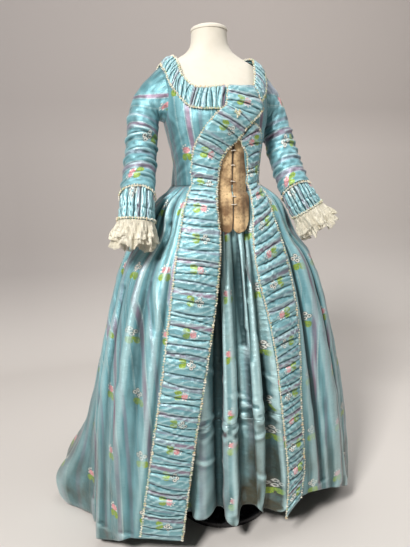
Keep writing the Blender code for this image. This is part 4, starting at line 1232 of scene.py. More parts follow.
# %% Bodice sheets
low, high = WAIST + SEAM / 4, STRAP_FRONT - SEAM
for side, name in SIDES:
    tab, ruche = (ROBING_RIGHT, RUCHE_RIGHT) if side < 0 else (ROBING_LEFT, RUCHE_LEFT)
    above = tab["inner_height"] > WAIST + 0.004
    edge = [(float(front_edge(side, low)), low)]
    edge += list(zip(tab["inner_angle"][above], tab["inner_height"][above]))
    neck = np.stack([ruche["neck_angle"], ruche["neck_height"] - 0.001], 1)
    neck = neck[neck[:, 1] < high - 0.004]
    corner_angle = edge[-1][0] + side * 0.5
    corner = np.interp(corner_angle * side, *(neck * (side, 1))[np.argsort(neck[:, 0] * side)].T)
    start = (corner_angle, float(corner))
    inner = [tuple(p) for p in neck if abs(p[0]) < 44 and (p[0] - edge[-1][0]) * side > 0]
    armhole = [(SIDE_SEAM, low), (SIDE_SEAM, 1.236), (82.0, 1.249), (73.5, 1.280), (69.0, high)]
    armhole = [(side * angle, height) for angle, height in armhole]
    top = [start, *inner, (side * 46.0, high), armhole[-1]]
    bottom = [(edge[0][0], low), (side * SIDE_SEAM, low)]
    front = [*edge, start]
    if side > 0:
        a, z = coons(bottom, armhole, top, front, 60, 66)
    else:
        a, z = coons(bottom[::-1], front, top[::-1], armhole, 70, 66)
    bodice_sheet(f"bodice_front_{name}_silk", a, z, side, f"bodice_front_{name}", FRONT_CREASES)

    neck_line = [(46.0, STRAP_FRONT), (54.0, 1.3425), (60.0, 1.367), (68.0, 1.390), (88.0, 1.405)]
    neck_line += [(117.0, NECK_EDGE)]
    arm_line = [(69.0, STRAP_FRONT), (70.5, 1.341), (78.0, 1.367), (91.5, 1.379), (105.0, 1.367)]
    arm_line += [(112.5, 1.341), (STRAP_BACK, STRAP_FRONT)]
    n, m = along(neck_line, 60), along(arm_line, 60)
    share = np.linspace(0, 1, 16)[:, None]
    a = n[None, :, 0] * (1 - share) + m[None, :, 0] * share
    z = n[None, :, 1] * (1 - share) + m[None, :, 1] * share
    strap = f"shoulder_strap_{name}"
    bodice_sheet(f"{strap}_silk", side * a, z, side, strap, STRAP_CREASES)

    under, strap_edge = SIDE_SEAM + 0.2, STRAP_BACK + 2.4
    low_edge = [(under, low), (BACK_EDGE, low)]
    arm = [(under, low), (under, 1.236), (101.0, 1.249), (109.5, 1.280), (strap_edge, high)]
    upper = [(strap_edge, high), (strap_edge + 0.6, 1.341), (119.0, NECK_EDGE), (BACK_EDGE, NECK_EDGE)]
    centre = [(BACK_EDGE, low), (BACK_EDGE, NECK_EDGE)]
    a, z = coons(low_edge, centre, upper, arm, 50, 70)
    bodice_sheet(f"bodice_back_{name}_silk", side * a, z, side, f"bodice_back_{name}", BACK_CREASES)

# %% [markdown]
# ## Skirts and the sack back
# The gown's skirts are sewn to the bodice at the waist and hang open in front over the petticoat; the sack is
# one loose width from the neck to the floor, laid in two double box pleats. Folds on the real gown come from
# the way the cloth is pleated at the waist, so they start there and widen as they fall.

# %% Skirt fronts, sides and sack
PLEATS = (
    (0.162, 1.050, 0.156, 0.900, 0.0040, -0.006),
    (0.178, 1.048, 0.186, 0.880, 0.0045, -0.007),
    (0.194, 1.048, 0.212, 0.860, 0.0050, -0.008),
    (0.208, 1.048, 0.238, 0.850, 0.0050, -0.007),
    (0.222, 1.048, 0.262, 0.840, 0.0055, -0.007),
    (0.240, 1.048, 0.290, 0.860, 0.0055, -0.006),
)
SKIRT_CREASES = {
    "right": (
        (0.162, 0.950, 0.164, 0.100, 0.0088, -0.0174),
        (0.187, 0.820, 0.187, 0.080, 0.0141, 0.0116),
        (0.143, 0.820, 0.143, 0.120, 0.0088, 0.0087),
        (0.203, 0.780, 0.200, 0.090, 0.0070, -0.0174),
        (0.150, 0.800, 0.136, 0.680, 0.0060, 0.0050),
        (0.157, 0.800, 0.141, 0.660, 0.0050, -0.0050),
        (0.175, 0.520, 0.190, 0.470, 0.0080, 0.0030),
        (0.240, 0.800, 0.246, 0.100, 0.0106, -0.0145),
        (0.222, 0.700, 0.224, 0.060, 0.0097, 0.0087),
        (0.285, 0.760, 0.300, 0.080, 0.0114, -0.0145),
    ),
    "left": (
        (0.118, 0.940, 0.124, 0.160, 0.0062, -0.0145),
        (0.142, 0.860, 0.150, 0.120, 0.0114, 0.0116),
        (0.166, 0.900, 0.176, 0.120, 0.0070, -0.0174),
        (0.186, 0.780, 0.196, 0.110, 0.0106, 0.0101),
        (0.130, 0.700, 0.144, 0.620, 0.0070, 0.0040),
        (0.212, 0.820, 0.222, 0.090, 0.0088, -0.0145),
        (0.160, 0.420, 0.182, 0.380, 0.0090, 0.0030),
        (0.262, 0.780, 0.276, 0.080, 0.0114, -0.0145),
    ),
}
PLUMB = {"right": (0.296, 1), "left": (0.205, -1)}  # how far out a bouquet column hangs; which way u runs
PLEATED = 0.318  # the half width below which the skirts' cloth is let out from its pleats
SKIRT_ROW = 0.490  # the height of one row of bouquets
STEPS = (131, 108)  # of one degree and of 10 mm
plain_gown = upright(GOWN)


def plumb_arcs(out):
    """At each degree and each 10 mm of height, the arc from the line that hangs at out from the middle."""
    a, z = np.meshgrid(np.arange(STEPS[0], dtype=float), np.arange(STEPS[1]) / 100, indexing="ij")
    points = plain_gown(a, z)
    arc = np.cumsum(np.linalg.norm(np.diff(points, axis=0, prepend=points[:1]), axis=-1), axis=0)
    share = np.minimum(1, read(GOWN, "half_width", z[0]) / PLEATED)
    front = slice(0, 80)
    zero = [np.interp(out * k, points[front, row, 0], arc[front, row]) for row, k in enumerate(share)]
    return (arc - np.array(zero)) / share


def skirt_flat(a, z, name):
    """Where a point of the skirt lay on the cloth: across from the plumb column, along from a bouquet row."""
    out, way = PLUMB[name]
    return BOUQUET_PLACE + PERIOD + way * between(plumb_arcs(out), a, z * 100), z - SKIRT_ROW


def skirt_ripples(a, z):
    """Long ripples from the waist and a slow lift and fall along the hem."""
    u = np.abs(a) * METRES_A_DEGREE * 2.0
    waves = ripples(u, z, (13.0, 0.6, 0.9, 0.0018), (27.0, 1.1, 0.2, 0.0010), (41.0, 0.9, 2.1, 0.0006))
    crumple = ripples(u, z, (9.0, 8.0, 1.2, 0.0006), (-17.0, 11.0, 0.3, 0.0004))
    return (waves + crumple) * ease((WAIST - z) / 0.06)


# %% Skirt sheets
skirt_share = np.linspace(0, 1, 210) ** 1.02
for side, name in SIDES:
    tab = ROBING_RIGHT if side < 0 else ROBING_LEFT
    top = WAIST - SEAM / 4
    hem = float(read(HEM, name, 40.0, "angle"))
    z0 = hem + (top - hem) * skirt_share
    inner = side * front_edge(side, z0)
    outer = side * smooth(tab["outer_height"], tab["outer_angle"], z0)
    seam = np.full(z0.shape, SKIRT_SEAM - 0.05)
    columns = np.linspace(0, 2, 64)[:, None]
    a = inner + (outer - inner) * np.minimum(columns, 1) + (seam - outer) * np.maximum(columns - 1, 0)
    lowest = read(HEM, name, a[:, :1], "angle")
    z = lowest + (top - lowest) * skirt_share
    free = ease((columns - 1.02) / 0.18) * ease((WAIST - z) / 0.03)
    folds = SKIRT_CREASES[name] + PLEATS
    level = (skirt_ripples(a, z) + creases(a * METRES_A_DEGREE, z, *folds)) * free
    normal = outward(gown, side * a, z)
    points = gown(side * a, z) + normal * level[..., None]
    flat = skirt_flat(a, z, name)
    front_skirt = sheet(f"skirt_front_{name}_silk", points, normal, flat, silk, reach=0.008)
    declare(front_skirt, (1.15, 1.0), [f"skirt_front_{name}"])

    a = np.linspace(SKIRT_SEAM + 0.05, 180 - SACK_HALF - 0.05, 96)[:, None] + np.zeros((1, 150))
    lowest = read(HEM, name, a[:, :1], "angle")
    z = lowest + (top - lowest) * np.linspace(0, 1, 150)
    free = ease((180 - SACK_HALF - a) / 4) * ease((WAIST - z) / 0.03)
    level = (skirt_ripples(a, z) + creases(a * METRES_A_DEGREE, z, *folds)) * free
    normal = outward(gown, side * a, z)
    points = gown(side * a, z) + normal * level[..., None]
    flat = skirt_flat(a, z, name)
    side_skirt = sheet(f"skirt_side_{name}_silk", points, normal, flat, silk, reach=0.008)
    declare(side_skirt, (1.15, 1.0), [f"skirt_side_{name}"])

# %% Sack sheet
half = [np.linspace(0, 6, 9), np.linspace(7, 20, 12), np.linspace(20.8, 26.4, 9)]
half += [np.linspace(27.5, 33.6, 6), np.linspace(34.4, 39.6, 8), np.linspace(41, SACK_HALF - 0.05, 12)]
half = np.concatenate(half)
beta = np.concatenate([-half[:0:-1], half])
hem = HEM["right"][-1]
rows = np.concatenate([np.linspace(hem, WAIST - 0.004, 150), np.linspace(WAIST + 0.004, SACK_TOP, 62)])
a, z = np.meshgrid(180 + beta, rows, indexing="ij")
u = beta[:, None] * METRES_A_DEGREE * 2.0
waves = ripples(u, z, (7.0, 1.1, 0.4, 0.0016), (15.0, 2.3, 1.9, 0.0010), (4.0, 7.0, 0.8, 0.0010))
normal = outward(sack, a, z)
level = waves * ease((SACK_HALF - np.abs(beta))[:, None] / 6) * ease((1.36 - z) / 0.2)
points = sack(a, z) + normal * np.abs(level)[..., None]
sack_sheet = sheet("sack_back_silk", points, normal, flat_map(points, start=(0.030, 0.0)), silk)
declare(sack_sheet, (1.15, 1.0), ["sack_back"])

# %% [markdown]
# ## Ruched trimming
# The robings down the fronts and the ruches round the neck are strips of the same silk, gathered across at
# uneven steps and sewn down along both edges. Between two lines of gathering the silk stands up in a rounded
# ridge, and the lines themselves are sharp valleys; a strip is therefore drawn as ridges whose places,
# heights and slants all differ a little.

# %% Gathers


def gathers(s, t, places, seed, height, sharp=0.45, slant=0.004):
    """Ridges between the places: height * sin(pi x)^sharp, x the share of the way; and 0 to 1 for each x."""
    chance = np.random.default_rng(seed)
    count = len(places) - 1
    tall = chance.uniform(0.55, 1.0, count)
    lean = chance.uniform(-slant, slant, len(places))
    bow = chance.uniform(-slant, slant, len(places)) * 0.6
    index = np.clip(np.searchsorted(places, s, side="right") - 1, 0, count - 1)
    for _ in range(2):
        low = places[index] + lean[index] * (t - 0.5) + bow[index] * np.sin(np.pi * t)
        high = places[index + 1] + lean[index + 1] * (t - 0.5) + bow[index + 1] * np.sin(np.pi * t)
        index = np.clip(index + (s > high).astype(int) - (s < low).astype(int), 0, count - 1)
    low = places[index] + lean[index] * (t - 0.5) + bow[index] * np.sin(np.pi * t)
    high = places[index + 1] + lean[index + 1] * (t - 0.5) + bow[index + 1] * np.sin(np.pi * t)
    x = np.clip((s - low) / (high - low), 0, 1)
    ridge = np.sin(np.pi * x ** chance.uniform(0.75, 1.35, count)[index]) ** sharp
    edge = 0.45 + 0.55 * np.sin(np.pi * np.clip(t, 0, 1)) ** 0.7
    return height * tall[index] * ridge * edge, ridge


def crumples(s, t, seed):
    """Small sharp folds that wander: waves whose own phase is waved, with their crests narrowed."""
    wander = 1.6 * np.sin(31.0 * s + 2.3 * t + seed) + 1.1 * np.sin(2 * np.pi * 1.3 * t + 17.0 * s)
    first = 1 - 2 * np.abs(np.sin(np.pi * 47.0 * s + wander + 1.9 * t)) ** 0.8
    second = 1 - 2 * np.abs(np.sin(np.pi * 29.0 * s - 1.4 * wander + 5.1 * t + seed)) ** 0.8
    return 0.6 * first + 0.6 * second


def pulled(base, ridge, t, by):
    """The shift along a strip's width that draws both edges in where it is gathered."""
    across = base[-1] - base[0]
    across = across / np.linalg.norm(across, axis=-1, keepdims=True)
    return across[None] * (by * (1 - ridge) * (1 - 2 * t))[..., None]


def uneven(length, step, seed, spread=0.28):
    """Places along a strip about one step apart, each moved by chance, from 0 up to the length."""
    chance = np.random.default_rng(seed)
    gaps = chance.uniform(1 - spread, 1 + spread, max(2, round(length / step)))
    places = np.concatenate([[0], np.cumsum(gaps)])
    return places / places[-1] * length


def strip(shape, tab, names, count, across_count, first=0.0):
    """Angles and heights over a band, its middle's running length s and its width share t."""
    first_a, first_z, last_a, last_z = band(tab, names, count, first)
    t = np.linspace(0, 1, across_count)[:, None]
    a = first_a + (last_a - first_a) * t
    z = first_z + (last_z - first_z) * t
    middle = shape((first_a + last_a) / 2, (first_z + last_z) / 2)
    s = np.concatenate([[0], np.cumsum(np.linalg.norm(np.diff(middle, axis=0), axis=1))])
    wide = np.linalg.norm(shape(first_a, first_z) - shape(last_a, last_z), axis=-1)
    return a, z, s[None, :] + 0 * t, t + 0 * s[None, :], wide


# %% Robings and ruches
ROBING_NAMES = ("inner_angle", "inner_height", "outer_angle", "outer_height")
RUCHE_NAMES = ("neck_angle", "neck_height", "low_angle", "low_height")
ROBING_BOUQUETS = {  # the heights where a bouquet lies on each robing, from the hem up
    "right": (0.349, 0.421, 0.498, 0.584, 0.662, 0.748, 0.829, 0.909, 0.987),
    "left": (0.534, 0.610, 0.690, 0.777, 0.859),
}
WORN_RIGHT = table(  # above the waist the right robing crosses to the neckline, over the left one's end
    "inner_angle inner_height outer_angle outer_height",
    *zip(*(ROBING_RIGHT[key][:6] for key in ROBING_NAMES)),
    (-19.5, 0.998, -50.0, 1.006),
    (-18.0, 1.066, -54.0, 1.085),
    (-11.8, 1.120, -48.0, 1.150),
    (-3.4, 1.146, -37.5, 1.190),
    (10.7, 1.171, -25.0, 1.222),
    (20.9, 1.200, -15.0, 1.241),
    (30.0, 1.221, -5.5, 1.254),
    (40.0, 1.240, -3.0, 1.268),
    (45.3, 1.258, -1.0, 1.284),
    (43.0, 1.284, 1.0, 1.298),
    (39.8, 1.3095, 3.0, 1.3100),
)
WORN_LEFT = table(
    "inner_angle inner_height outer_angle outer_height",
    *zip(*(ROBING_LEFT[key][:10] for key in ROBING_NAMES)),
    (31.0, 1.133, 54.5, 1.148),
    (20.5, 1.162, 50.0, 1.190),
    (18.0, 1.176, 40.0, 1.212),
    (22.0, 1.190, 33.0, 1.219),
)
OVER = 0.0062  # how much higher the right robing lies where it crosses
SEWN = TRIM_LIFT + WALL - 0.0004  # from the gown to the face of a strip between its ridges
RUCHE_STARTS = {"right": 0.105, "left": 0.185}  # the share where each comes out from under the right robing
RUCHE_PLACE = 0.060  # where along the warp the ruches were cut, between two bouquets
trims = {}
for name, tab, seed in (("right", WORN_RIGHT, 11), ("left", WORN_LEFT, 23)):
    a, z, s, t, wide = strip(robe, tab, ROBING_NAMES, 640, 17)
    level, ridge = gathers(s, t, uneven(s.max(), 0.0235, seed, 0.50), seed, 0.0080, 0.25, 0.011)
    level = level + 0.0014 * (1.5 + crumples(s, t, seed)) * ridge
    normal = outward(robe, a, z)
    over = OVER * ease((z - 1.14) / 0.06) * (name == "right")
    base = robe(a, z) + normal * over[..., None]
    points = base + normal * (SEWN + level)[..., None] + pulled(base, ridge, t, 0.0022)
    marks = np.interp(ROBING_BOUQUETS[name], z.mean(0), s[0])
    places = BOUQUET_PLACE - PERIOD * np.arange(len(marks))
    flat = (run_through(s, marks, places), (0.5 - t) * wide[None, :] * 1.02)
    obj = sheet(f"robing_{name}_silk", points, normal, flat, silk_gathered)
    trims[f"robing_{name}"] = obj
    made[f"robing_{name}_base"] = (base, normal)
    print(f"robing_{name}: {s.max():.3f} m long, {wide.mean():.3f} m wide")
for name, tab, seed in (("right", RUCHE_RIGHT, 31), ("left", RUCHE_LEFT, 47)):
    a, z, s, t, wide = strip(bodice, tab, RUCHE_NAMES, 330, 15, RUCHE_STARTS[name])
    level, ridge = gathers(s, t, uneven(s.max(), 0.0120, seed, 0.45), seed, 0.0066, 0.5, 0.012)
    level = level + 0.0010 * (1.5 + crumples(s, t, seed)) * ridge
    base = bodice(a, z)
    normal = outward(bodice, a, z)
    points = base + normal * (SEWN + level)[..., None] + pulled(base, ridge, t, 0.0020)
    stripe = s[0, np.abs(np.abs(a[0]) - 3.2).argmin()]
    flat = ((s - stripe) * 1.3, (0.5 - t) * wide[None, :] * 1.02 + RUCHE_PLACE)
    obj = sheet(f"neck_ruche_{name}_silk", points, normal, flat, silk_gathered)
    trims[f"neck_ruche_{name}"] = obj
    made[f"neck_ruche_{name}_base"] = (base, normal)
    print(f"neck_ruche_{name}: {s.max():.3f} m long, {wide.mean():.3f} m wide")

# %% [markdown]
# ## Sleeves, cuffs and lace
# A sleeve is a tube along a bent line, set into the armhole at its head. Where the elbow bends, the silk
# crowds into creases that run part of the way round. The cuff is a gathered strip closed into a ring, and
# two ruffles of net hang under it, each a cone whose wavy hem is deeper on the outer side.

# %% Sleeve surfaces
SLEEVE = table(
    "along out forward height radius turn",
    (0.00, 0.163, 0.002, 1.312, 0.060, 0.0),
    (0.12, 0.190, 0.004, 1.281, 0.051, 30.0),
    (0.28, 0.205, 0.014, 1.226, 0.0455, 62.0),
    (0.48, 0.214, 0.034, 1.165, 0.0430, 78.0),
    (0.74, 0.226, 0.066, 1.092, 0.0440, 80.0),
    (1.00, 0.238, 0.095, 1.030, 0.0460, 78.0),
)
ARM = table("side spread reach drop", (-1, 0.016, 0.028, 0.0), (1, -0.018, 0.016, 0.006))
CUFF = table(
    "side length turn radius flare",
    (-1, 0.070, 8.0, 0.0465, 0.003),
    (1, 0.068, 27.0, 0.0455, 0.003),
)
LACE = table(
    "layer inside length flare",
    (0, 0.0000, 0.050, 0.017),
    (1, 0.0022, 0.070, 0.013),
)
ARMHOLE_MIDDLE = (91.5, 1.308)  # its angle and height
ARMHOLE_REACH = (22.0, 0.070)
CUFF_GAP = 0.0018  # from the sleeve's end to the cuff
LACE_GAP = 0.0006  # from the cuff's end to the lace
CUFF_FORWARD = 12.0  # how many degrees the cuffs tip forward


def sleeve_frame(side, s):
    """Middle, outer, forward and along directions of a sleeve at a share of its length."""
    row = 0 if side < 0 else 1
    spread, reach, drop = (ARM[c][row] for c in ("spread", "reach", "drop"))

    def middle(t):
        """The arm's line: the table's own, spread by t and brought forward by t squared."""
        head = ease(t / 0.12) * ease((0.5 - t) / 0.3)
        out = read(SLEEVE, "out", t, "along") + spread * t
        forward = read(SLEEVE, "forward", t, "along") + reach * t * t
        height = read(SLEEVE, "height", t, "along") - drop * head
        return np.stack([out, -forward, height], -1)

    tangent = middle(s + 0.01) - middle(s - 0.01)
    tangent /= np.linalg.norm(tangent, axis=-1, keepdims=True)
    turn = np.radians(read(SLEEVE, "turn", s, "along"))
    outer = np.stack([np.sin(turn), 0 * turn, np.cos(turn)], -1)
    ahead = np.cross(tangent, outer)
    ahead /= np.linalg.norm(ahead, axis=-1, keepdims=True)
    return middle(s), outer, ahead, np.cross(outer, ahead)


def ring(middle, outer, ahead, radius, degrees):
    """A circle round the middle: radius * (cos * outer + sin * ahead)."""
    turn = np.radians(degrees)[..., None]
    return middle + radius[..., None] * (np.cos(turn) * outer + np.sin(turn) * ahead)


def mirrored(shape, side):
    """A left-hand tube for the left side, or its mirror image, still facing out, for the right."""
    return lambda u, v: shape(side * u, v) * np.array([side, 1, 1])


def sleeve_shape(side):
    """A tube round the arm's line, blended into the armhole's oval over the first sixth."""

    def shape(degrees, s):
        """The hole's oval times (1 - s / 0.16) squared, and the tube for the rest."""
        middle, outer, ahead = sleeve_frame(side, s)[:3]
        tube = ring(middle, outer, ahead, read(SLEEVE, "radius", s, "along"), degrees)
        turn = np.radians(degrees)
        angle = ARMHOLE_MIDDLE[0] - (ARMHOLE_REACH[0] + 1.5) * np.sin(turn)
        height = ARMHOLE_MIDDLE[1] + (ARMHOLE_REACH[1] + 0.004) * np.cos(turn)
        hole = bodice(angle, height) + WALL * outward(bodice, angle, height)
        share = 1 - (1 - np.clip(s / 0.16, 0, 1))[..., None] ** 2
        return hole * (1 - share) + tube * share

    return mirrored(shape, side)


def cuff_frame(side):
    """Where a cuff starts and its outer, front and downward directions."""
    end, outer, ahead, tangent = sleeve_frame(side, np.array(1.0))
    tip = np.radians(CUFF["turn"][0 if side < 0 else 1])
    tilt = np.radians(CUFF_FORWARD)
    down = np.array([np.sin(tip), -np.sin(tilt), -np.cos(tip) * np.cos(tilt)])
    down /= np.linalg.norm(down)
    front = np.cross(down, outer)
    front /= np.linalg.norm(front)
    return end + tangent * CUFF_GAP, outer, ahead, np.cross(front, down), front, down


SLEEVE_CREASES = (
    (-150, 0.20, -30, 0.24, 0.020, 0.0030),
    (-60, 0.30, 70, 0.27, 0.018, 0.0035),
    (20, 0.36, 150, 0.40, 0.017, 0.0040),
    (-170, 0.38, -50, 0.34, 0.018, 0.0030),
    (-30, 0.46, 110, 0.43, 0.016, 0.0040),
    (60, 0.52, 190, 0.50, 0.016, 0.0035),
    (-120, 0.50, 0, 0.55, 0.017, 0.0030),
    (10, 0.60, 140, 0.58, 0.015, 0.0035),
    (-70, 0.66, 50, 0.63, 0.016, 0.0030),
    (80, 0.68, 200, 0.66, 0.016, 0.0030),
    (-20, 0.76, 120, 0.73, 0.016, 0.0028),
    (-150, 0.72, -40, 0.76, 0.017, 0.0025),
    (30, 0.86, 160, 0.84, 0.016, 0.0022),
    (-100, 0.88, 20, 0.90, 0.016, 0.0022),
)


def sleeve_level(side, degrees, s):
    """Creases in turns and shares of the length, read at three turns so that they join round the arm."""
    rows = [(u0 / 360, v0, u1 / 360, *rest) for u0, v0, u1, *rest in SLEEVE_CREASES]
    u = side * degrees / 360 + (0.0 if side < 0 else 0.21)
    level = sum(creases(u + k, s, *rows) for k in (-1, 0, 1))
    fine = ripples(u, s, (5, 7.0, 0.3, 0.0006), (-8, 11.0, 1.4, 0.0005), (3, 19.0, 2.2, 0.0005))
    head = 0.0007 * (1 + np.sin(2 * np.pi * 17 * u)) * ease((0.10 - s) / 0.08) * ease(s / 0.02)
    return (1.6 * level + fine) * ease(s / 0.12) * ease((1.0 - s) / 0.04 + 0.3) + head


def widest_round(points, degrees, start):
    """The running length round each ring of a tube, counted from the ring's point at the angle start."""
    steps = np.linalg.norm(np.diff(points, axis=0), axis=-1)
    length = np.concatenate([np.zeros((1, points.shape[1])), np.cumsum(steps, axis=0)])
    return length - np.stack([np.interp(start, degrees, one_ring) for one_ring in length.T])


# %% Cuffs and lace as surfaces


def round_grid(columns, rows):
    """Angles once round, and the given places along."""
    return np.meshgrid(np.linspace(-180, 180, columns, endpoint=False), rows, indexing="ij")


def cuff_shape(side, length, radius, flare):
    """A cuff as a ring at each step down from its frame."""
    start, outer, ahead, out, front, down = cuff_frame(side)

    def shape(degrees, along_cuff):
        """A ring of radius + flare * share, turned from the sleeve's end to the cuff's own tilt."""
        size = radius + flare * along_cuff / length
        blend = ease(1 - along_cuff / (length * 0.5))[..., None]
        side_out = out * (1 - blend) + outer * blend
        side_front = front * (1 - blend) + ahead * blend
        return ring(start + along_cuff[..., None] * down, side_out, side_front, size, degrees)

    return mirrored(shape, side)


def ruffle_shape(side, layer, begin, cuff_length):
    """A ruffle of lace that begins at the cuff's end with that radius."""
    start, _, _, out, front, down = cuff_frame(side)
    reach, spread = LACE["length"][layer], LACE["flare"][layer]

    def shape(degrees, t):
        """A ring that widens on the outer side, with eight deep waves and finer crumples lower down."""
        share = t / reach
        facing = 0.5 + 0.5 * np.cos(np.radians(degrees))
        turns = np.radians(degrees)
        wave = np.cos(8 * turns + 1.3 * np.sin(3 * turns + layer)) * (1 + 0.4 * np.sin(2 * turns + 1))
        fine = np.sin(19 * turns + 4.2 * share + layer) + 0.7 * np.sin(31 * turns - 6.0 * share)
        widened = begin + 0.6 * spread * share * (0.2 + 0.8 * facing)
        size = widened + (0.0098 * wave + 0.0034 * fine) * share
        lift = 0.10 * np.sin(5 * turns + 1.7 * layer) + 0.05 * np.sin(11 * turns)
        scallop = 1 + share * (lift - 0.04 + 0.035 * np.abs(np.sin(22 * turns)))
        place = start + (cuff_length + LACE_GAP + t * scallop)[..., None] * down
        return ring(place, out, front, size, degrees)

    return mirrored(shape, side)


for side, name in SIDES:
    print(f"{name} arm ends at", sleeve_frame(side, np.array(1.0))[0].round(3))

# %% [markdown]
# ## Making the sleeves
# The silk's stripes run round the arm, so a sleeve's flat map is laid out from the places of its stripes. The
# cuff is drawn up along gathers that run from edge to edge; the lace's flat width is its own longest ring.

# %% Sleeves, cuffs and ruffles
SLEEVE_STRIPES = {"right": (0.07, 0.35, 0.75), "left": (-0.03, 0.40, 0.83)}  # shares of the length
SLEEVE_BOUQUET = {"right": -60.0, "left": 120.0}  # the angle round the arm of a bouquet
# painted shade laid evenly over each sleeve
SLEEVE_PAINTED_SHADE = 0.13
LACE_LAYERS = {"lace_upper": 0, "lace_lower": 1}
CUFF_SUNK = 0.0056  # how far the cuff's valleys lie inside the solid's face


def make_sleeve(side, name):
    """A sleeve's sheet: level places along the arm near its head, and shares of its length lower down."""
    a, s = round_grid(96, np.linspace(0, 1, 92))
    shape = sleeve_shape(side)
    normal = outward(shape, a, s, dv=0.01)
    points = shape(a, s) + normal * sleeve_level(side, a, s)[..., None]
    height = shape(a, s)[..., 2]
    level_share = np.interp(-height, -height.mean(0), s[0])
    level_share = s + (level_share - s) * ease((0.36 - s) / 0.24)
    down_arm = run_through(level_share, SLEEVE_STRIPES[name], PERIOD * np.arange(3))
    round_arm = widest_round(shape(a, s), a[:, 0], SLEEVE_BOUQUET[name]) + 0.10 * (0.846 - s)
    flat = (down_arm, round_arm)
    # the sleeve is darkened evenly as painted shade
    sleeve = sheet(f"sleeve_{name}_silk", points, normal, flat, silk, True, painted_shade=SLEEVE_PAINTED_SHADE)
    quarters = [f"sleeve_{part}_{half}_{name}" for part in ("upper", "lower") for half in ("outer", "under")]
    declare(sleeve, nodes=quarters)


def make_cuff(side, name, length, radius, flare):
    """A cuff's sheet: the ring, gathered at uneven places, with one tuck along its middle."""
    a, t = round_grid(240, np.linspace(0, length, 22))
    shape = cuff_shape(side, length, radius, flare)
    normal = outward(shape, a, t)
    share = t / length
    s = (a + 180) / 360 * 2 * np.pi * radius
    places = uneven(2 * np.pi * radius, 0.0150, 61 + side, 0.35)
    level, ridge = gathers(s, share, places, 61 + side, 0.0064, 0.5, 0.0)
    tucks = 0.0026 * np.exp(-(((share - 0.5 - 0.05 * np.sin(np.radians(2 * a))) / 0.05) ** 2))
    small = ripples(a / 360, share, (31, 1.5, 0.4, 0.0006), (-44, 2.5, 1.9, 0.0005), (18, 3.5, 0.9, 0.0006))
    level = level - CUFF_SUNK - tucks * ridge + (0.0012 + small) * ridge
    points = shape(a, t) + normal * level[..., None]
    flat = (s * 1.35, t)
    obj = sheet(f"cuff_{name}_silk", points, normal, flat, silk_gathered, closed=True)
    declare(obj, (1.15, 1.0), [f"cuff_{name}"])
    trims[f"cuff_{name}"] = obj
    made[f"cuff_{name}_base"] = (shape(a, t).swapaxes(0, 1), normal.swapaxes(0, 1))


def make_ruffle(side, name, label, layer, begin, cuff_length):
    """A ruffle's sheet, with its flat map taken from its own longest rings."""
    a, t = round_grid(220, np.linspace(0, LACE["length"][layer], 15))
    shape = ruffle_shape(side, layer, begin, cuff_length)
    points = shape(a, t)
    flat = flat_map(points)
    normal = outward(shape, a, t)
    obj = sheet(f"{label}_{name}_net", points, normal, flat, lace, True, thickness=0.0008)
    declare(obj, (1.2, 1.0), [f"{label}_{name}"])


for side, name in SIDES:
    make_sleeve(side, name)
    length, radius, flare = (CUFF[c][0 if side < 0 else 1] for c in ("length", "radius", "flare"))
    make_cuff(side, name, length, radius, flare)
    for label, layer in LACE_LAYERS.items():
        make_ruffle(side, name, label, layer, radius + flare - LACE["inside"][layer], length)

# %% [markdown]
# ## Fly fringe
# Fly fringe is a fine braid with little knotted tufts of floss at each side. It hides the stitches along both
# edges of the robings, ruches and cuffs. Each tuft is three small lumps, so a shape with twenty faces is fine
# enough: all the lumps of one trimming are written at once as one mesh.

# %% Braid and tufts
GOLDEN = (1 + 5**0.5) / 2
LUMP = np.array([(p, q * GOLDEN, 0) for q in (1, -1) for p in (1, -1)], float)
LUMP = np.concatenate([LUMP, np.roll(LUMP, 1, 1), np.roll(LUMP, 2, 1)]) / math.hypot(1, GOLDEN)
FRINGE_EVERY = 0.0072  # from one tuft to the next
BRAID = 0.0010
BRAID_STEP = 0.003
HOOK_HALF = 3.4  # half a hook's width, in degrees
HOOK_WIRE = 0.0013


def lump_faces():
    """The twenty triangles of the icosahedron: every three corners that are next to each other."""
    near = np.linalg.norm(LUMP[:, None] - LUMP[None], axis=-1) < 1.1
    count = range(len(LUMP))
    trios = [(i, j, k) for i in count for j in range(i) for k in range(j)]
    faces = np.array([(i, j, k) for i, j, k in trios if near[i, j] and near[i, k] and near[j, k]])
    turned_in = np.einsum("ij,ij->i", np.cross(LUMP[faces[:, 1]], LUMP[faces[:, 2]]), LUMP[faces[:, 0]]) < 0
    faces[turned_in] = faces[turned_in][:, ::-1]
    return faces


LUMP_FACES = lump_faces()


def lumps(centres, sizes, chance):
    """A lump of its own width, depth and height at each centre."""
    stretch = chance.uniform(0.75, 1.3, (len(centres), 1, 3))
    verts = centres[:, None] + sizes[:, None, None] * stretch * LUMP
    faces = LUMP_FACES + len(LUMP) * np.arange(len(centres))[:, None, None]
    return verts.reshape(-1, 3), faces.reshape(-1, 3)


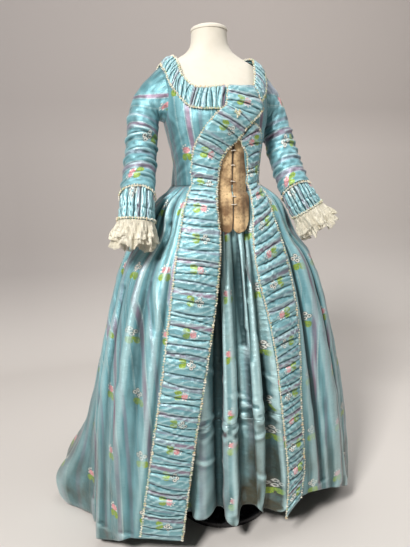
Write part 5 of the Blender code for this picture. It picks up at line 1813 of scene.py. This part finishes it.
def braid(line, up, loop, radius=BRAID):
    """A five-sided tube round a line of points; a loop joins up, and an open line is capped."""
    ahead = np.roll(line, -1, 0) - np.roll(line, 1, 0) if loop else np.gradient(line, axis=0)
    ahead = ahead / np.linalg.norm(ahead, axis=-1, keepdims=True)
    aside = np.cross(ahead, up)
    aside = aside / np.linalg.norm(aside, axis=-1, keepdims=True)
    turn = np.linspace(0, 2 * np.pi, 5, endpoint=False)[:, None, None]
    rings = line + radius * (np.cos(turn) * np.cross(aside, ahead) + np.sin(turn) * aside)
    index = np.arange(rings[..., 0].size).reshape(rings.shape[:2])
    ring_index = np.vstack([index, index[:1]])
    if loop:
        ring_index = np.hstack([ring_index, ring_index[:, :1]])
    corners = [ring_index[:-1, :-1], ring_index[1:, :-1], ring_index[1:, 1:], ring_index[:-1, 1:]]
    faces = np.stack([c.ravel() for c in corners], 1).tolist()
    if not loop:
        faces += [index[::-1, 0].tolist(), index[:, -1].tolist()]
    return rings.reshape(-1, 3), faces


def fringe(name, lines, seed):
    """Braids and tufts along lines of (points, normals, loop), written as one mesh."""
    chance = np.random.default_rng(seed)
    verts, faces, tones = [], [], []
    for points, normals, loop in lines:
        place = np.concatenate([[0], np.cumsum(np.linalg.norm(np.diff(points, axis=0), axis=-1))])
        steps = np.arange(0, place[-1] - (BRAID_STEP if loop else 0.0), BRAID_STEP)
        line = np.stack([np.interp(steps, place, points[:, k]) for k in range(3)], 1)
        up = np.stack([np.interp(steps, place, normals[:, k]) for k in range(3)], 1)
        aside = np.cross(np.gradient(line, axis=0), up)
        aside = aside / np.linalg.norm(aside, axis=-1, keepdims=True)
        line = line + up * 0.0012 + aside * (0.0006 * np.sin(steps * 2 * np.pi / 0.0075))[:, None]
        tube_verts, tube_faces = braid(line, up, loop)
        at = np.arange(FRINGE_EVERY / 2, steps[-1], FRINGE_EVERY) + chance.uniform(-0.0012, 0.0012)
        at = np.repeat(at, 3) + chance.uniform(-0.0016, 0.0016, 3 * len(at))
        middle = np.stack([np.interp(at, steps, line[:, k]) for k in range(3)], 1)
        lean = np.stack([np.interp(at, steps, aside[:, k]) for k in range(3)], 1)
        rise = np.stack([np.interp(at, steps, up[:, k]) for k in range(3)], 1)
        away = np.tile([-0.0022, 0.0003, 0.0022], len(at) // 3) + chance.uniform(-0.0006, 0.0006, len(at))
        centres = middle + lean * away[:, None] + rise * chance.uniform(0.0004, 0.0016, len(at))[:, None]
        lump_verts, lump_triangles = lumps(centres, chance.uniform(0.0014, 0.0022, len(at)), chance)
        first = sum(len(v) for v in verts)
        verts += [tube_verts, lump_verts]
        faces += [[index + first for index in face] for face in tube_faces]
        faces += (lump_triangles + first + len(tube_verts)).tolist()
        sorts = np.repeat(chance.uniform(0, 1, len(at) // 3), 3) + chance.uniform(-0.1, 0.1, len(at))
        tones += [np.full(len(tube_verts), 0.2), np.repeat(sorts, len(LUMP))]
    obj = new_object(name, np.concatenate(verts), faces, fringe_floss)
    corner = np.fromiter((index for face in faces for index in face), int)
    tone = np.concatenate(tones)
    set_map(obj, np.stack([tone, tone], 1), corner)
    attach(obj, "root")
    return obj


# %% Hooks, knot and fringes
for k, height in enumerate(HOOK_HEIGHTS, start=1):
    turns = np.linspace(-1, 1, 9)
    a = lining_middle(height) + turns * (HOOK_HALF + 0.5 * (k % 2))
    z = height + 0.0008 * np.sin(2.0 * turns + k)
    normal = outward(lining, a, z)
    line = lining(a, z) + normal * (0.0038 - 0.0018 * turns**4)[:, None]
    verts, faces = braid(line, normal, False, HOOK_WIRE)
    hook = new_object(f"hook_bar_{k}", verts, faces, hook_metal)
    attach(hook, "root")
    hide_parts(f"hook_{k}")

turns = np.radians(np.linspace(-180, 180, 49))
loops = []
for tilt, wide in ((0.5, 0.0055), (2.6, 0.0055), (4.4, 0.004)):
    across = np.cos(tilt) * (1 + np.cos(turns)) * wide - np.sin(tilt) * np.sin(turns) * wide / 2
    up = np.sin(tilt) * (1 + np.cos(turns)) * wide + np.cos(tilt) * np.sin(turns) * wide / 2
    a, z = 9.0 + across / METRES_A_DEGREE, 1.236 + up
    normal = outward(robe, a, z)
    loops.append((robe(a, z) + normal * (OVER + TRIM_LIFT + WALL + 0.0075), normal, True))
fringe("fringe_knot", loops, 31)
for key, seed in (("robing", 3), ("neck_ruche", 5), ("cuff", 9)):
    for name in ("right", "left"):
        base, normal = made[f"{key}_{name}_base"]
        raised = base + normal * (0.0003 if key == "cuff" else TRIM_LIFT + WALL + 0.0008)
        inset = 1 if key == "cuff" else 0
        ends = [(raised[k], normal[k], key == "cuff") for k in (inset, -1 - inset)]
        tufts = fringe(f"fringe_{key}_{name}", ends, seed + len(name))
        print(f"{tufts.name}: {len(tufts.data.polygons)} faces")

# %% [markdown]
# ## What the trimming lies on
# The robings and ruches lie across several pieces, so their solids are hidden once all of those are made.
# Their cloth is let out along the strip, as it is gathered that way.

for key, obj in trims.items():
    if key.startswith("robing"):
        declare(obj, (1.0, 1.15), [key])
    elif key.startswith("neck"):
        declare(obj, (1.0, 1.15), [key])

# %% [markdown]
# ## Setting for the pictures
# A pale floor that curves up into a wall, soft light from the upper left and front, and a camera at standing
# height a little to one side, which sees the open front, one sleeve and the spread of the train. The wall is
# darker higher up and to the left as painted shade.

# %% Floor, lights and camera
ROOM = 4.2  # how far the floor reaches to each side, and how high the wall is
# the floor is pale in its own right; higher up, the wall is darker as painted shade
WALL_TONES_AND_SHADE = (
    (0.0, (0.72, 0.675, 0.635)),
    (0.3, (0.59, 0.545, 0.515)),
    (0.80, (0.55, 0.50, 0.47)),
    (1.0, (0.44, 0.395, 0.37)),
)
# painted shade for the left of the wall
WALL_PAINTED_SHADE = (0.33, 0.30, 0.29)


def backdrop():
    """Floor and wall in one sweep: flat, then a quarter of a circle of 0.7 m, then upright."""
    bend = np.linspace(0, math.pi / 2, 24)
    y = np.concatenate([[-ROOM], 1.5 + 0.7 * np.sin(bend), [2.2]])
    z = np.concatenate([[0.0], 0.7 - 0.7 * np.cos(bend), [ROOM]])
    x = np.linspace(-ROOM, ROOM, 3)
    return np.stack(np.broadcast_arrays(x[:, None], y, z), -1)


wall_paint_and_shade, tree, shader = principled("wall_paint_and_shade", Roughness=0.95)
room_place = split(tree, put(tree, "TexCoord", out=3))
# pale at the floor, and darker higher up the wall as painted shade
shaded_ramp = ramp(tree, calc(tree, "MULTIPLY", room_place[2], 0.6), *WALL_TONES_AND_SHADE)
upper = put(tree, "MapRange", room_place[2], 0.0, 0.5, 0.15, 1.0)
# painted shade: darker towards the left, mostly on the wall
darker = calc(tree, "MULTIPLY", put(tree, "MapRange", room_place[0], 1.1, -0.7, 0.0, 0.75), upper)
link(tree, blend_colour(tree, darker, shaded_ramp, WALL_PAINTED_SHADE), shader, "Base Color")
grid = backdrop()
floor = new_object("floor_and_wall", grid, quads(*grid.shape[:2]), wall_paint_and_shade)


def area_light(name, place, aim, size, power, colour=(1, 1, 1)):
    """A square light of that size and power at a place, turned to face its aim."""
    data = bpy.data.lights.new(name, "AREA")
    data.size = size
    data.energy = power
    data.color = colour
    obj = bpy.data.objects.new(name, data)
    bpy.context.scene.collection.objects.link(obj)
    toward = Vector(aim) - Vector(place)
    obj.matrix_world = Matrix.Translation(place) @ toward.to_track_quat("-Z", "Y").to_matrix().to_4x4()


area_light("key_light", (-2.1, -2.4, 3.1), (0.0, 0.0, 1.0), 0.7, 190, (1.0, 0.99, 0.97))
area_light("fill_light", (2.8, -2.0, 1.4), (0.0, 0.0, 0.8), 2.0, 1.5, (1.0, 0.97, 0.92))
area_light("top_light", (0.0, 0.2, 3.6), (0.0, 0.0, 0.6), 1.6, 24)
area_light("wall_light", (2.2, -0.6, 3.2), (1.4, 2.2, 1.4), 2.0, 44)
world = bpy.data.worlds.new("room")
bpy.context.scene.world = world
world.use_nodes = True
sky = world.node_tree.nodes["Background"]
sky.inputs["Color"].default_value = (0.96, 0.95, 0.92, 1)
sky.inputs["Strength"].default_value = 0.10
bpy.context.scene.view_settings.view_transform = "Standard"

camera_data = bpy.data.cameras.new("camera")
camera_data.sensor_fit = "VERTICAL"
camera_data.sensor_height = 36.0
camera_data.lens = 490 / 547 * 36
camera = bpy.data.objects.new("camera", camera_data)
bpy.context.scene.collection.objects.link(camera)
turn = Matrix.Rotation(math.radians(-16.7), 4, "Z")
pitch = Matrix.Rotation(math.radians(90 - 9.7), 4, "X")
roll = Matrix.Rotation(math.radians(-1.9), 4, "Z")
camera.matrix_world = Matrix.Translation((-0.4697, -1.4456, 1.04)) @ turn @ pitch @ roll
bpy.context.scene.camera = camera
place = [round(value, 4) for value in camera.matrix_world.translation]
print(f"camera: a lens of {camera_data.lens:.2f} mm at", place)
